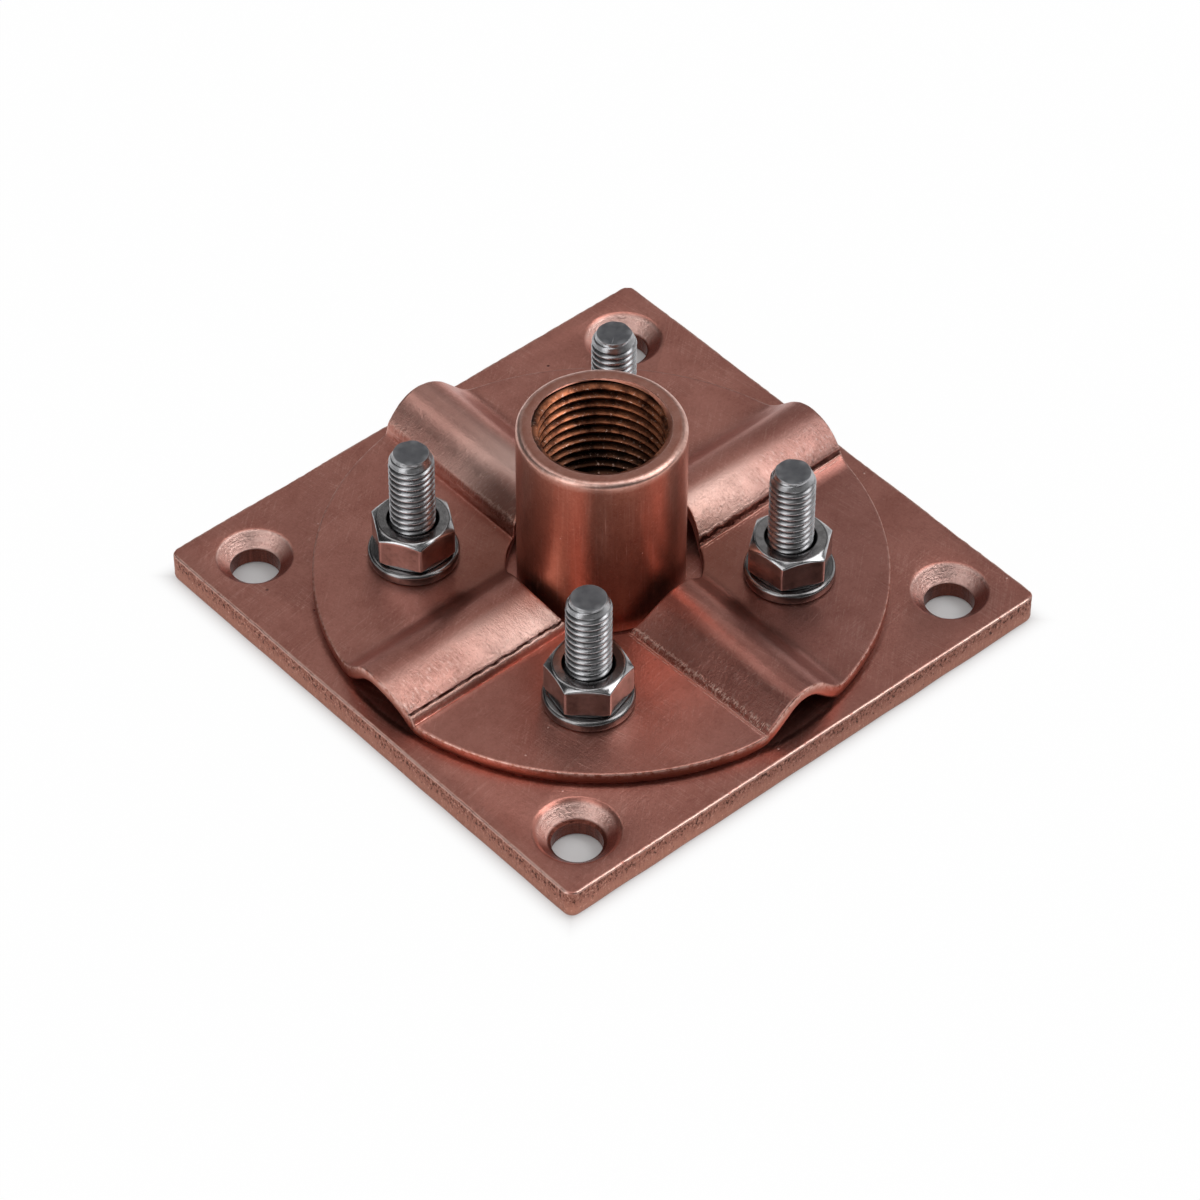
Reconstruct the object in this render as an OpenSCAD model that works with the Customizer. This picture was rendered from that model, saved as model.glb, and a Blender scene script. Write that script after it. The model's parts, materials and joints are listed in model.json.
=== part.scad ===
// Air terminal base: a square base plate carries a threaded boss for the air rod.
// A round pressed cover, held on four countersunk studs by washers and nuts,
// clamps the round down conductors in the channels pressed into it.
// Units are millimetres. The origin is the middle of the plate's underside, +Z up.

/* [Base plate] */
// Side of the square base plate
plate_w = 80; // [76:1:110]
// Thickness of the base plate
plate_t = 4.5; // [4:0.5:8]
// Radius of the plate's corners, seen from above
plate_corner_r = 1.5; // [0.5:0.5:4]
// Break along the plate's lower edge, where the shear rolled it over
plate_edge_break = 0.6; // [0.2:0.1:1]
// Distance from the plate's edge to the middle of a mounting hole
hole_inset = 8; // [7:0.5:10]
// Clearance hole for a mounting screw
hole_d = 6.6; // [5:0.1:7]
// Rim of the mounting hole's countersink
countersink_d = 10.5; // [8:0.5:12]

/* [Rod boss] */
// Outside of the boss
boss_d = 22; // [20:0.5:26]
// Height of the boss above the plate
boss_h = 26.3; // [20:0.1:40]
// Major diameter of the air rod's thread
rod_thread_d = 18; // [14:1:18]
// Pitch of the air rod's thread
rod_thread_pitch = 1.5; // [1:0.25:2]
// Break round the boss's top edge
boss_edge_break = 0.4; // [0.2:0.1:0.8]

/* [Clamp cover] */
// Diameter of the cover
cover_d = 75; // [68:1:80]
// Thickness of the cover's sheet
sheet_t = 1.8; // [1:0.1:2.5]
// Gap all round between the boss and the cover's middle opening
opening_clearance = 1.75; // [1:0.25:3]

/* [Conductor channels] */
// Height of a channel's roof above the plate, inside
channel_h = 4.6; // [4:0.1:5.4]
// Radius of a channel's roof, inside
roof_r = 4.5; // [3.5:0.1:5]
// Slope of a channel's flanks
flank_angle = 50; // [42:1:60]
// Radius at the soft foot of a channel; the other foot is a sharp crease
foot_r = 3; // [1:0.5:4]
// How far the channels along X run off the middle, towards +Y
channel_x_shift = 0.4; // [-1:0.1:1]
// How far the channels along Y run off the middle, towards +X
channel_y_shift = 1.1; // [-1:0.1:1.5]

/* [Studs] */
// Distance between neighbouring studs
stud_spacing = 34.5; // [33:0.5:37]
// Thread diameter of a stud
stud_d = 6; // [5:0.5:6.5]
// Overall length of a stud, head and all
stud_l = 24.5; // [22:0.5:35]
// Diameter of the countersunk head
head_d = 11.3; // [10:0.1:12]
// Width across flats of the head's hexagon socket
socket_af = 4; // [3:0.5:4.5]
// Depth of the head's hexagon socket
socket_depth = 2; // [1:0.25:2.5]
// Diameter of the flat end of a stud
tip_d = 4.7; // [3.5:0.1:4.8]
// Length of the taper behind the flat end
tip_l = 0.9; // [0.5:0.1:1.5]

/* [Washers and nuts] */
// Outside of a washer
washer_d = 12; // [11:0.5:13]
// Thickness of a washer
washer_t = 1.6; // [1:0.1:2]
// Break round a washer's top edge
washer_edge_break = 0.3; // [0.1:0.1:0.5]
// Width across flats of a nut
nut_af = 10; // [9.5:0.5:11]
// Height of a nut
nut_h = 5; // [4:0.1:6]
// Slope of the bevel that takes off a nut's corners
nut_bevel_angle = 30; // [15:1:35]
// How far inside the flats a nut's flat ring ends
nut_face_inset = 0.2; // [0:0.1:0.4]
// Width of the chamfer at both mouths of a nut's bore
nut_mouth_chamfer = 0.35; // [0.2:0.05:0.6]
// Turn of the front nut about its stud
nut_front_turn = 17; // [0:1:59]
// Turn of the right nut about its stud
nut_right_turn = 37; // [0:1:59]
// Turn of the back nut about its stud
nut_back_turn = 50; // [0:1:59]
// Turn of the left nut about its stud
nut_left_turn = 0; // [0:1:59]

/* [Fits] */
// Gap all round between a stud and its hole in the plate
stud_plate_clearance = 0.05; // [0.02:0.01:0.2]
// Gap all round between a stud and its hole in the cover
stud_cover_clearance = 0.3; // [0.2:0.1:0.6]
// Gap all round between a stud and a washer
stud_washer_clearance = 0.2; // [0.1:0.1:0.4]
// Gap all round between a stud's crests and a nut's roots
stud_nut_clearance = 0.05; // [0.02:0.01:0.1]

/* [Hidden] */
$fn = 96;

copper = [0.55, 0.34, 0.29];
bright_copper = [0.62, 0.38, 0.31];
red_copper = [0.58, 0.31, 0.24];
steel = [0.60, 0.60, 0.62];
dark_steel = [0.36, 0.36, 0.38];

// How far a cutting shape runs past the face it cuts
over = 1;
// Segments in each arc of the channel's section
arc_steps = 12;
// A 60 degree thread is this deep, as a share of its pitch, counted on both sides
thread_depth_share = 1.0825;

// Corner directions, named as the photograph's view shows them
FRONT = [-1, -1];
RIGHT = [1, -1];
BACK = [1, 1];
LEFT = [-1, 1];
CORNERS = [FRONT, RIGHT, BACK, LEFT];

hole_spacing = plate_w - 2 * hole_inset;
rod_bore_d = rod_thread_d - thread_depth_share * rod_thread_pitch;
opening_r = boss_d / 2 + opening_clearance;

// Levels of the stack
cover_z = plate_t;
washer_z = cover_z + sheet_t;
nut_z = washer_z + washer_t;

// Section of a channel: the roof and the flanks are offset by the sheet's thickness
roof_z = channel_h - roof_r;
crease_u = flank_end(roof_r + sheet_t, sheet_t);
soft_foot_u = crease_u + foot_r * tan(flank_angle / 2);

head_r = head_d / 2;
stud_r = stud_d / 2;
// The countersunk heads are 90 degree cones
head_h = head_r - stud_r;

nut_corner_r = nut_af / 2 / cos(30);
nut_face_r = nut_af / 2 - nut_face_inset;
nut_bevel_h = (nut_corner_r - nut_face_r) * tan(nut_bevel_angle);
nut_bore_r = stud_r + stud_nut_clearance;

// Points of an arc about [u, z]; angles are counted from straight up, towards +u
function arc(u, z, r, from, to) = [
    for (i = [0:arc_steps])
        let (a = from + (to - from) * i / arc_steps)
        [u + r * sin(a), z + r * cos(a)]
];

// Where a flank that is r from the roof's centre comes down to the height z
function flank_end(r, z) =
    r * sin(flank_angle) + (roof_z + r * cos(flank_angle) - z) / tan(flank_angle);

module at(corner, spacing, z = 0) {
    translate([corner[0] * spacing / 2, corner[1] * spacing / 2, z])
        children();
}

// A square outline with round corners
module rounded_square(w, r) {
    square([w, w - 2 * r], center = true);
    square([w - 2 * r, w], center = true);
    for (c = CORNERS)
        translate([c[0] * (w / 2 - r), c[1] * (w / 2 - r)])
            circle(r = r);
}

// The plate's section, with its lower edges broken
module plate_section() {
    half = plate_w / 2;
    polygon([
        [-half + plate_edge_break, 0], [half - plate_edge_break, 0],
        [half, plate_edge_break], [half, plate_t],
        [-half, plate_t], [-half, plate_edge_break]
    ]);
}

module along_x(length) {
    rotate([90, 0, 90])
        linear_extrude(height = length, center = true)
            children();
}

module along_y(length) {
    rotate([90, 0, 0])
        linear_extrude(height = length, center = true)
            children();
}

// Mounting hole with a 90 degree countersink, open to the plate's top
module mounting_hole() {
    hole_r = hole_d / 2;
    rim_r = countersink_d / 2;
    translate([0, 0, -over])
        cylinder(r = hole_r, h = plate_t + 2 * over);
    translate([0, 0, plate_t - (rim_r - hole_r)])
        cylinder(r1 = hole_r, r2 = rim_r + over, h = rim_r - hole_r + over);
}

// Countersunk stud hole, open to the plate's underside
module stud_hole() {
    wall_r = stud_r + stud_plate_clearance;
    translate([0, 0, -over])
        cylinder(r = wall_r, h = plate_t + 2 * over);
    translate([0, 0, -over])
        cylinder(r1 = wall_r + head_h + over, r2 = wall_r, h = head_h + over);
}

module base_plate() {
    color(copper)
        difference() {
            intersection() {
                linear_extrude(height = plate_t)
                    rounded_square(plate_w, plate_corner_r);
                along_x(plate_w + 2 * over)
                    plate_section();
                along_y(plate_w + 2 * over)
                    plate_section();
            }
            for (c = CORNERS) {
                at(c, hole_spacing)
                    mounting_hole();
                at(c, stud_spacing)
                    stud_hole();
            }
        }
}

// Turned sleeve, brazed to the plate; the plate closes its threaded bore
module rod_boss() {
    outer_r = boss_d / 2;
    bore_r = rod_bore_d / 2;
    mouth_r = rod_thread_d / 2;
    color(red_copper)
        translate([0, 0, plate_t])
            rotate_extrude()
                polygon([
                    [bore_r, 0], [outer_r, 0],
                    [outer_r, boss_h - boss_edge_break],
                    [outer_r - boss_edge_break, boss_h],
                    [mouth_r, boss_h],
                    [bore_r, boss_h - (mouth_r - bore_r)]
                ]);
}

// A channel's outside, filled down to the plate
module channel_outside() {
    polygon(concat(
        [[soft_foot_u, 0]],
        arc(soft_foot_u, sheet_t + foot_r, foot_r, 180, 180 + flank_angle),
        arc(0, roof_z, roof_r + sheet_t, flank_angle, -flank_angle),
        [[-crease_u, sheet_t], [-crease_u, 0]]
    ));
}

// The hollow under a channel; both its feet bend about the same centres as the outside
module channel_hollow() {
    polygon(concat(
        [[soft_foot_u, -over]],
        arc(soft_foot_u, sheet_t + foot_r, sheet_t + foot_r, 180, 180 + flank_angle),
        arc(0, roof_z, roof_r, flank_angle, -flank_angle),
        arc(-crease_u, sheet_t, sheet_t, 180 - flank_angle, 180),
        [[-crease_u, -over]]
    ));
}

module channels(length) {
    translate([0, channel_x_shift, 0])
        along_x(length)
            children();
    translate([channel_y_shift, 0, 0])
        along_y(length)
            children();
}

// Pressed sheet: a flat disc with four channels that meet at the middle opening
module clamp_cover() {
    top = channel_h + sheet_t;
    color(bright_copper)
        translate([0, 0, cover_z])
            difference() {
                intersection() {
                    union() {
                        cylinder(d = cover_d, h = sheet_t);
                        channels(cover_d)
                            channel_outside();
                    }
                    cylinder(d = cover_d, h = top + over);
                }
                channels(cover_d + 2 * over)
                    channel_hollow();
                translate([0, 0, -over])
                    cylinder(r = opening_r, h = top + 2 * over);
                for (c = CORNERS)
                    at(c, stud_spacing, -over)
                        cylinder(r = stud_r + stud_cover_clearance, h = top + 2 * over);
            }
}

// Countersunk screw put in from below, its head flush with the plate's underside
module stud(corner) {
    color(steel)
        at(corner, stud_spacing)
            difference() {
                rotate_extrude()
                    polygon([
                        [0, 0], [head_r, 0], [stud_r, head_h],
                        [stud_r, stud_l - tip_l],
                        [tip_d / 2, stud_l], [0, stud_l]
                    ]);
                translate([0, 0, -over])
                    cylinder(d = socket_af / cos(30), h = socket_depth + over, $fn = 6);
            }
}

module washer(corner) {
    outer_r = washer_d / 2;
    inner_r = stud_r + stud_washer_clearance;
    color(steel)
        at(corner, stud_spacing, washer_z)
            rotate_extrude()
                polygon([
                    [inner_r, 0], [outer_r, 0],
                    [outer_r, washer_t - washer_edge_break],
                    [outer_r - washer_edge_break, washer_t],
                    [inner_r, washer_t]
                ]);
}

// Hexagon nut, its corners bevelled top and bottom
module nut(corner, turn) {
    color(dark_steel)
        at(corner, stud_spacing, nut_z)
            rotate([0, 0, turn])
                difference() {
                    intersection() {
                        cylinder(r = nut_corner_r, h = nut_h, $fn = 6);
                        nut_bevels();
                    }
                    nut_bore();
                }
}

// The turned outline that bevels a nut's corners
module nut_bevels() {
    rotate_extrude()
        polygon([
            [0, 0], [nut_face_r, 0],
            [nut_corner_r, nut_bevel_h],
            [nut_corner_r, nut_h - nut_bevel_h],
            [nut_face_r, nut_h], [0, nut_h]
        ]);
}

// A nut's bore, opened out at both mouths by 45 degree chamfers
module nut_bore() {
    mouth_r = nut_bore_r + nut_mouth_chamfer;
    translate([0, 0, -over])
        cylinder(r = nut_bore_r, h = nut_h + 2 * over);
    translate([0, 0, -over])
        cylinder(r1 = mouth_r + over, r2 = nut_bore_r, h = nut_mouth_chamfer + over);
    translate([0, 0, nut_h - nut_mouth_chamfer])
        cylinder(r1 = nut_bore_r, r2 = mouth_r + over, h = nut_mouth_chamfer + over);
}

base_plate();
rod_boss();
clamp_cover();
stud(FRONT);  // stud_front
stud(RIGHT);  // stud_right
stud(BACK);  // stud_back
stud(LEFT);  // stud_left
washer(FRONT);  // washer_front
washer(RIGHT);  // washer_right
washer(BACK);  // washer_back
washer(LEFT);  // washer_left
nut(FRONT, nut_front_turn);  // nut_front
nut(RIGHT, nut_right_turn);  // nut_right
nut(BACK, nut_back_turn);  // nut_back
nut(LEFT, nut_left_turn);  // nut_left
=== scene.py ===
"""Looks of the air terminal base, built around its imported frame.

Each solid is replaced by a finished piece of the same form. Sizes are in
millimetres, and become metres where a mesh is made.
"""

import json
import logging
import math
from dataclasses import dataclass
from enum import Enum
from typing import Any, Callable, Iterable

import bmesh
import bpy
import numpy as np
from mathutils import Matrix, Vector


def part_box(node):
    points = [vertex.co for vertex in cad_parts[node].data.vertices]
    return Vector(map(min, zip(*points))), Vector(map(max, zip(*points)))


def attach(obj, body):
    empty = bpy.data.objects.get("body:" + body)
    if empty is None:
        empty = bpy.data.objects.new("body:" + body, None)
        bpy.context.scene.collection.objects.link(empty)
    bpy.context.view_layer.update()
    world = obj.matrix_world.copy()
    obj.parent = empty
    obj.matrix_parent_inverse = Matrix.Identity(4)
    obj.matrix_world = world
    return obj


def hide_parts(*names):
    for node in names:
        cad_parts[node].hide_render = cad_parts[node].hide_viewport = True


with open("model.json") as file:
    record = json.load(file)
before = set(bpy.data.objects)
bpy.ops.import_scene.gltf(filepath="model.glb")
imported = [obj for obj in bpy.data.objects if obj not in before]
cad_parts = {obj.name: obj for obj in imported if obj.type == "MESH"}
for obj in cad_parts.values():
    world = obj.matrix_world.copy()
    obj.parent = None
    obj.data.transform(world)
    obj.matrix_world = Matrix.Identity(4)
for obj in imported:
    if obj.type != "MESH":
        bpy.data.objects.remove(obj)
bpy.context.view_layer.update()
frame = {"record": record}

LOG = logging.getLogger("air_terminal_base")
# A millimetre, and the distance at which doubles merge, in metres
MM = 0.001
MERGE = 2e-6
# Width across a channel's crease that its seam mask covers, in millimetres
SEAM_BAND = 3.0
# Points round a tool that cuts a hole
TOOL_COUNT = 72
TURN = 2 * math.pi
WHITE = (1.0, 1.0, 1.0, 1.0)
Triple = tuple[float, float, float]
Colour = Triple


def linear(colour: Colour) -> tuple[float, float, float, float]:
    """Turns a colour as a screen shows it into the linear one that a node takes.

    Args:
        colour: Red, green and blue from 0 to 1.

    Returns:
        Linear red, green, blue and a full alpha.
    """
    parts = [c / 12.92 if c <= 0.04045 else ((c + 0.055) / 1.055) ** 2.4 for c in colour]
    return parts[0], parts[1], parts[2], 1.0


def math_operator(operation: str, reflected: bool = False) -> Callable[[Any, Any], "Field"]:
    """Makes one of Field's operators.

    Args:
        operation: What its Math node does.
        reflected: True where the Field stands on the right.

    Returns:
        The method.
    """
    def method(self: "Field", other: Any) -> "Field":
        """Returns the Math node's result."""
        pair = (other, self) if reflected else (self, other)
        return self.graph.math(operation, *pair)
    return method


class Field:
    """A node's socket, on which Python's operators add Math nodes."""

    __add__ = __radd__ = math_operator("ADD")
    __sub__ = math_operator("SUBTRACT")
    __rsub__ = math_operator("SUBTRACT", reflected=True)
    __mul__ = __rmul__ = math_operator("MULTIPLY")
    __truediv__ = math_operator("DIVIDE")
    __rtruediv__ = math_operator("DIVIDE", reflected=True)

    def __init__(self, graph: "Graph", socket: bpy.types.NodeSocket) -> None:
        """Keeps the socket and the graph that it is in."""
        self.graph = graph
        self.socket = socket

    def __abs__(self) -> "Field":
        """Returns the absolute value."""
        return self.graph.math("ABSOLUTE", self)


class Graph:
    """Adds nodes to one node tree, of a material or of Geometry Nodes."""

    def __init__(self, tree: bpy.types.NodeTree) -> None:
        """Keeps the tree that the nodes go to."""
        self.tree = tree

    def node(self, kind: str, settings: dict[str, Any] | None = None,
             values: dict[Any, Any] | None = None) -> bpy.types.Node:
        """Makes one node.

        Args:
            kind: The node's type.
            settings: Its properties, set first; "stops" are a ramp's places and greys.
            values: A number, colour or Field for each input, by name or index.

        Returns:
            The new node.
        """
        made = self.tree.nodes.new(kind)
        for name, value in (settings or {}).items():
            if name == "stops":
                self._set_stops(made.color_ramp, value)
            else:
                setattr(made, name, value)
        for key, value in (values or {}).items():
            self.join(value, made.inputs[key])
        return made

    @staticmethod
    def _set_stops(ramp: bpy.types.ColorRamp, stops: Iterable[tuple[float, float]]) -> None:
        """Gives a colour ramp its stops, each a place and a grey."""
        for number, (place, grey) in enumerate(stops):
            if number == len(ramp.elements):
                ramp.elements.new(1.0)
            ramp.elements[number].position = place
            ramp.elements[number].color = (grey, grey, grey, 1.0)

    def join(self, value: Any, socket: bpy.types.NodeSocket) -> None:
        """Links a Field to a socket, or sets the socket to a plain value."""
        if isinstance(value, Field):
            self.tree.links.new(value.socket, socket)
        else:
            socket.default_value = value

    def out(self, node: bpy.types.Node, key: Any = 0) -> Field:
        """Returns a node's output as a Field."""
        return Field(self, node.outputs[key])

    def field(self, kind: str, settings: dict[str, Any] | None = None,
              values: dict[Any, Any] | None = None, key: Any = 0) -> Field:
        """Makes one node and returns its output of that name or index."""
        return self.out(self.node(kind, settings, values), key)

    def math(self, operation: str, *values: Any) -> Field:
        """Returns the result of a Math node on one to three values."""
        return self.field("ShaderNodeMath", {"operation": operation}, dict(enumerate(values)))

    def vector(self, operation: str, *values: Any, key: int = 0) -> Field:
        """Returns a Vector Math node's result: output 0 is a vector, output 1 a number."""
        settings = {"operation": operation}
        return self.field("ShaderNodeVectorMath", settings, dict(enumerate(values)), key)

    def scaled(self, vector: Any, factor: float) -> Field:
        """Returns a vector times a number."""
        values = {0: vector, "Scale": factor}
        return self.field("ShaderNodeVectorMath", {"operation": "SCALE"}, values)

    def dot(self, a: Any, b: Any) -> Field:
        """Returns the dot product of two vectors."""
        return self.vector("DOT_PRODUCT", a, b, key=1)

    def length(self, x: Any, y: Any) -> Field:
        """Returns how far a point of the plane is from the origin."""
        return self.vector("LENGTH", self.vec(x, y, 0.0), key=1)

    def least(self, a: Any, b: Any) -> Field:
        """Returns the smaller of two values."""
        return self.math("MINIMUM", a, b)

    def most(self, a: Any, b: Any) -> Field:
        """Returns the larger of two values."""
        return self.math("MAXIMUM", a, b)

    def held(self, value: Any, low: Any = 0.0, high: Any = 1.0) -> Field:
        """Returns a value held between two limits."""
        return self.least(self.most(value, low), high)

    def step(self, value: Any, low: float, high: float) -> Field:
        """Makes a smooth step, also one where high is less than low.

        Args:
            value: Where to read it.
            low: Where it is 0.
            high: Where it is 1.

        Returns:
            The step there.
        """
        if low > high:
            return 1.0 - self.step(value, high, low)
        settings = {"interpolation_type": "SMOOTHSTEP"}
        values = {"Value": value, "From Min": low, "From Max": high}
        return self.field("ShaderNodeMapRange", settings, values)

    def blend(self, factor: Any, a: Any, b: Any) -> Field:
        """Returns a number between a and b."""
        return self.field("ShaderNodeMix", {"data_type": "FLOAT"}, {0: factor, 2: a, 3: b})

    def tint(self, factor: Any, a: Any, b: Any, way: str = "MIX") -> Field:
        """Returns a colour mixed from a and b in one of Blender's ways."""
        settings = {"data_type": "RGBA", "blend_type": way}
        return self.field("ShaderNodeMix", settings, {0: factor, 6: a, 7: b}, 2)

    def between(self, factor: Any, a: Colour, b: Colour) -> Field:
        """Returns a colour mixed from two that are as a screen shows them."""
        return self.tint(factor, linear(a), linear(b))

    def coated(self, colour: Any, *coats: tuple[Any, Colour]) -> Any:
        """Lays coats on a colour, each over the one before.

        Args:
            colour: What they lie on.
            coats: How much of each shows, from 0 to 1, and its colour.

        Returns:
            The colour on top.
        """
        for share, coat in coats:
            colour = self.tint(share, colour, linear(coat))
        return colour

    def noise(self, vector: Any, scale: float, detail: float = 3.0,
              rough: float = 0.5) -> Field:
        """Returns a Noise Texture's value, about 0.5, at so many features a unit."""
        values = {"Vector": vector, "Scale": scale, "Detail": detail, "Roughness": rough}
        return self.field("ShaderNodeTexNoise", None, values)

    def patches(self, vector: Any, scale: float, low: float, high: float,
                detail: float = 3.0, rough: float = 0.5) -> Field:
        """Returns the noise as patches: 0 where it is at low, and 1 where it is at high."""
        return self.step(self.noise(vector, scale, detail, rough), low, high)

    def streaks(self, vector: Any, turn: float, lengths: Triple, detail: float = 3.0,
                rough: float = 0.5) -> Field:
        """Returns noise drawn out along each axis, its axes turned about Z by degrees."""
        values = {"Vector": vector, "Rotation": (0, 0, math.radians(turn)), "Scale": lengths}
        drawn = self.field("ShaderNodeMapping", {"vector_type": "TEXTURE"}, values)
        return self.noise(drawn, 1.0, detail, rough)

    def split(self, vector: Any) -> tuple[Field, Field, Field]:
        """Returns a vector's three parts."""
        made = self.node("ShaderNodeSeparateXYZ", None, {0: vector})
        return self.out(made, 0), self.out(made, 1), self.out(made, 2)

    def vec(self, x: Any, y: Any, z: Any) -> Field:
        """Returns a vector of three parts."""
        return self.field("ShaderNodeCombineXYZ", None, {0: x, 1: y, 2: z})


@dataclass
class Layers:
    """What a finish shows: its colour, its roughness and its height in millimetres."""

    colour: Any
    rough: Any
    height: Any

    def cover(self, g: Graph, share: Field, top: "Layers") -> None:
        """Lays other layers over these where the share is 1."""
        self.colour = g.tint(share, self.colour, top.colour)
        self.rough = g.blend(share, self.rough, top.rough)
        self.height = g.blend(share, self.height, top.height)


class MaterialGraph(Graph):
    """A metal's nodes, round one Principled BSDF.

    It holds the Object coordinates in millimetres as place, their parts as x, y and z, and
    the place that patterns take, which the seed shifts, as at.
    """

    def __init__(self, name: str, seed: float = 0.0) -> None:
        """Makes an empty material with its shader, its output and its coordinates.

        Args:
            name: Name of the material.
            seed: Shifts every pattern.
        """
        self.material = bpy.data.materials.new(name)
        self.material.use_nodes = True
        self.material.node_tree.nodes.clear()
        super().__init__(self.material.node_tree)
        self.shader = self.node("ShaderNodeBsdfPrincipled")
        self.node("ShaderNodeOutputMaterial", None, {"Surface": self.out(self.shader)})
        self.place = self.scaled(self.field("ShaderNodeTexCoord", key="Object"), 1 / MM)
        self.x, self.y, self.z = self.split(self.place)
        self.at = self.vector("ADD", self.place, (seed, 0.7 * seed, 0.0))

    def attribute(self, name: str) -> Field:
        """Returns a number that the mesh holds at each point."""
        return self.field("ShaderNodeAttribute", {"attribute_name": name}, key="Fac")

    def finish(self, layers: Layers) -> bpy.types.Material:
        """Feeds the shader.

        Args:
            layers: What the metal shows.

        Returns:
            The material.
        """
        values = {"Strength": 1.0, "Distance": MM, "Height": layers.height}
        bump = self.field("ShaderNodeBump", None, values)
        inputs = {"Base Color": layers.colour, "Roughness": layers.rough,
                  "Metallic": 1.0, "Normal": bump}
        for name, value in inputs.items():
            self.join(value, self.shader.inputs[name])
        return self.material


@dataclass(frozen=True)
class Copper:
    """Satin copper: how its colour, brush marks, grain and specks look.

    Attributes:
        name: Name of the material.
        colour: The clean metal.
        stain: The duller metal that mottles it.
        roughness: Mean roughness.
        brush: Directions of the brush marks, in degrees from +X.
        upright: True where the marks run up the piece instead.
        brushed: How strongly the marks show.
        grain: Depth of the fine grain, in millimetres.
        seed: Shifts every pattern.
    """

    RUBBED = (0.95, 0.76, 0.70)
    PIT = (0.24, 0.13, 0.11)
    NICK = (0.97, 0.83, 0.78)

    name: str
    colour: Colour = (0.83, 0.57, 0.515)
    stain: Colour = (0.68, 0.435, 0.385)
    roughness: float = 0.34
    brush: tuple[float, ...] = (8.0, 97.0, 40.0)
    upright: bool = False
    brushed: float = 0.5
    grain: float = 0.035
    seed: float = 0.0

    def start(self) -> tuple[MaterialGraph, Layers]:
        """Starts the material and returns its nodes and its first layers."""
        g = MaterialGraph(self.name, self.seed)
        return g, self.layers(g)

    def marks(self, g: MaterialGraph) -> Field:
        """Draws the brush marks in all their directions.

        Args:
            g: The material's nodes.

        Returns:
            The marks, about 0.
        """
        if self.upright:
            fine = g.streaks(g.at, 0.0, (0.3, 0.3, 7.0), 4.0, 0.6)
            broad = g.streaks(g.at, 0.0, (0.9, 0.9, 14.0), 2.0)
            return (fine - 0.5) * 1.1 + (broad - 0.5) * 0.6
        total: Any = 0.0
        for number, turn in enumerate(self.brush):
            moved = g.vector("ADD", g.at, (17.0 * number, 5.0 * number, 0.0))
            lines = g.streaks(moved, turn, (6.0, 0.22, 6.0), 3.0, 0.65) - 0.5
            total = lines * g.patches(moved, 0.11, 0.38, 0.60, 2.0) + total
        return total

    def scratches(self, g: MaterialGraph) -> Field:
        """Returns long fine scratches, from 0 to 1, in two directions."""
        total: Any = 0.0
        for number, turn in enumerate(self.brush[:2]):
            moved = g.vector("ADD", g.at, (3.1 + 29.0 * number, 11.0 * number, 0.0))
            line = g.step(g.streaks(moved, turn + 11.0, (7.0, 0.2, 7.0), 1.0), 0.70, 0.77)
            total = g.most(total, line * g.patches(moved, 0.09, 0.46, 0.62))
        return total

    def specks(self, g: MaterialGraph, at: Field, scale: float, share: float) -> Field:
        """Returns round specks from 0 to 1: cells a millimetre, and the share that is filled."""
        cells = g.node("ShaderNodeTexVoronoi", None, {"Vector": at, "Scale": scale})
        chosen = g.step(g.out(cells, "Color"), 1.0 - share, 1.01 - share)
        return chosen * g.step(g.out(cells, "Distance"), 0.34, 0.18)

    def dusk(self, g: MaterialGraph, colour: Field, share: float, tone: Colour) -> Field:
        """Darkens a colour towards the right corner, as painted shade.

        Args:
            g: The material's nodes.
            colour: The colour.
            share: How much it is darkened at the corner, from 0 to 1.
            tone: What it is multiplied by.

        Returns:
            The darker colour.
        """
        return g.tint(g.step(g.x - g.y, 16.0, 40.0) * share, colour, linear(tone), "MULTIPLY")

    def layers(self, g: MaterialGraph) -> Layers:
        """Builds what all the coppers share.

        Args:
            g: The material's nodes.

        Returns:
            The clean metal with its stains, marks, scratches and specks, and painted sheen and
            glints.
        """
        marks = self.marks(g)
        scratches = self.scratches(g)
        pits = self.specks(g, g.at, 1.3, 0.045)
        # Painted glints: sparse near-white specks stand in for sparkles of light on the satin
        # metal.
        glint_specks = self.specks(g, g.vector("ADD", g.at, (9.0, 4.0, 2.0)), 1.7, 0.05)
        clouds = g.noise(g.at, 0.16, 4.0, 0.6)
        fine = g.noise(g.at, 2.6, 3.0, 0.7)
        stained = g.step(clouds, 0.35, 0.72) * 0.50 + g.noise(g.at, 0.9, 3.0, 0.65) * 0.30
        stained = stained + g.step(fine, 0.50, 0.34) * 0.22
        # Painted sheen: brush marks and fine grain are lightened as highlights, and the scratches
        # share the same light colour.
        lit = g.step(marks, 0.02, 0.24) * (0.5 * self.brushed) + g.step(fine, 0.58, 0.74) * 0.22
        colour = g.coated(g.between(stained, self.colour, self.stain),
                          (g.least(lit + scratches * 0.34, 1.0), self.RUBBED),
                          (pits * 0.8, self.PIT), (glint_specks * 0.7, self.NICK))
        rough = self.roughness + marks * 0.22 * self.brushed + (clouds - 0.5) * 0.16
        height = marks * (0.03 * self.brushed) + (fine - 0.5) * self.grain
        height = height - scratches * 0.008 - pits * 0.03 + glint_specks * 0.03
        return Layers(colour, rough + scratches * 0.1, height)


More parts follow.
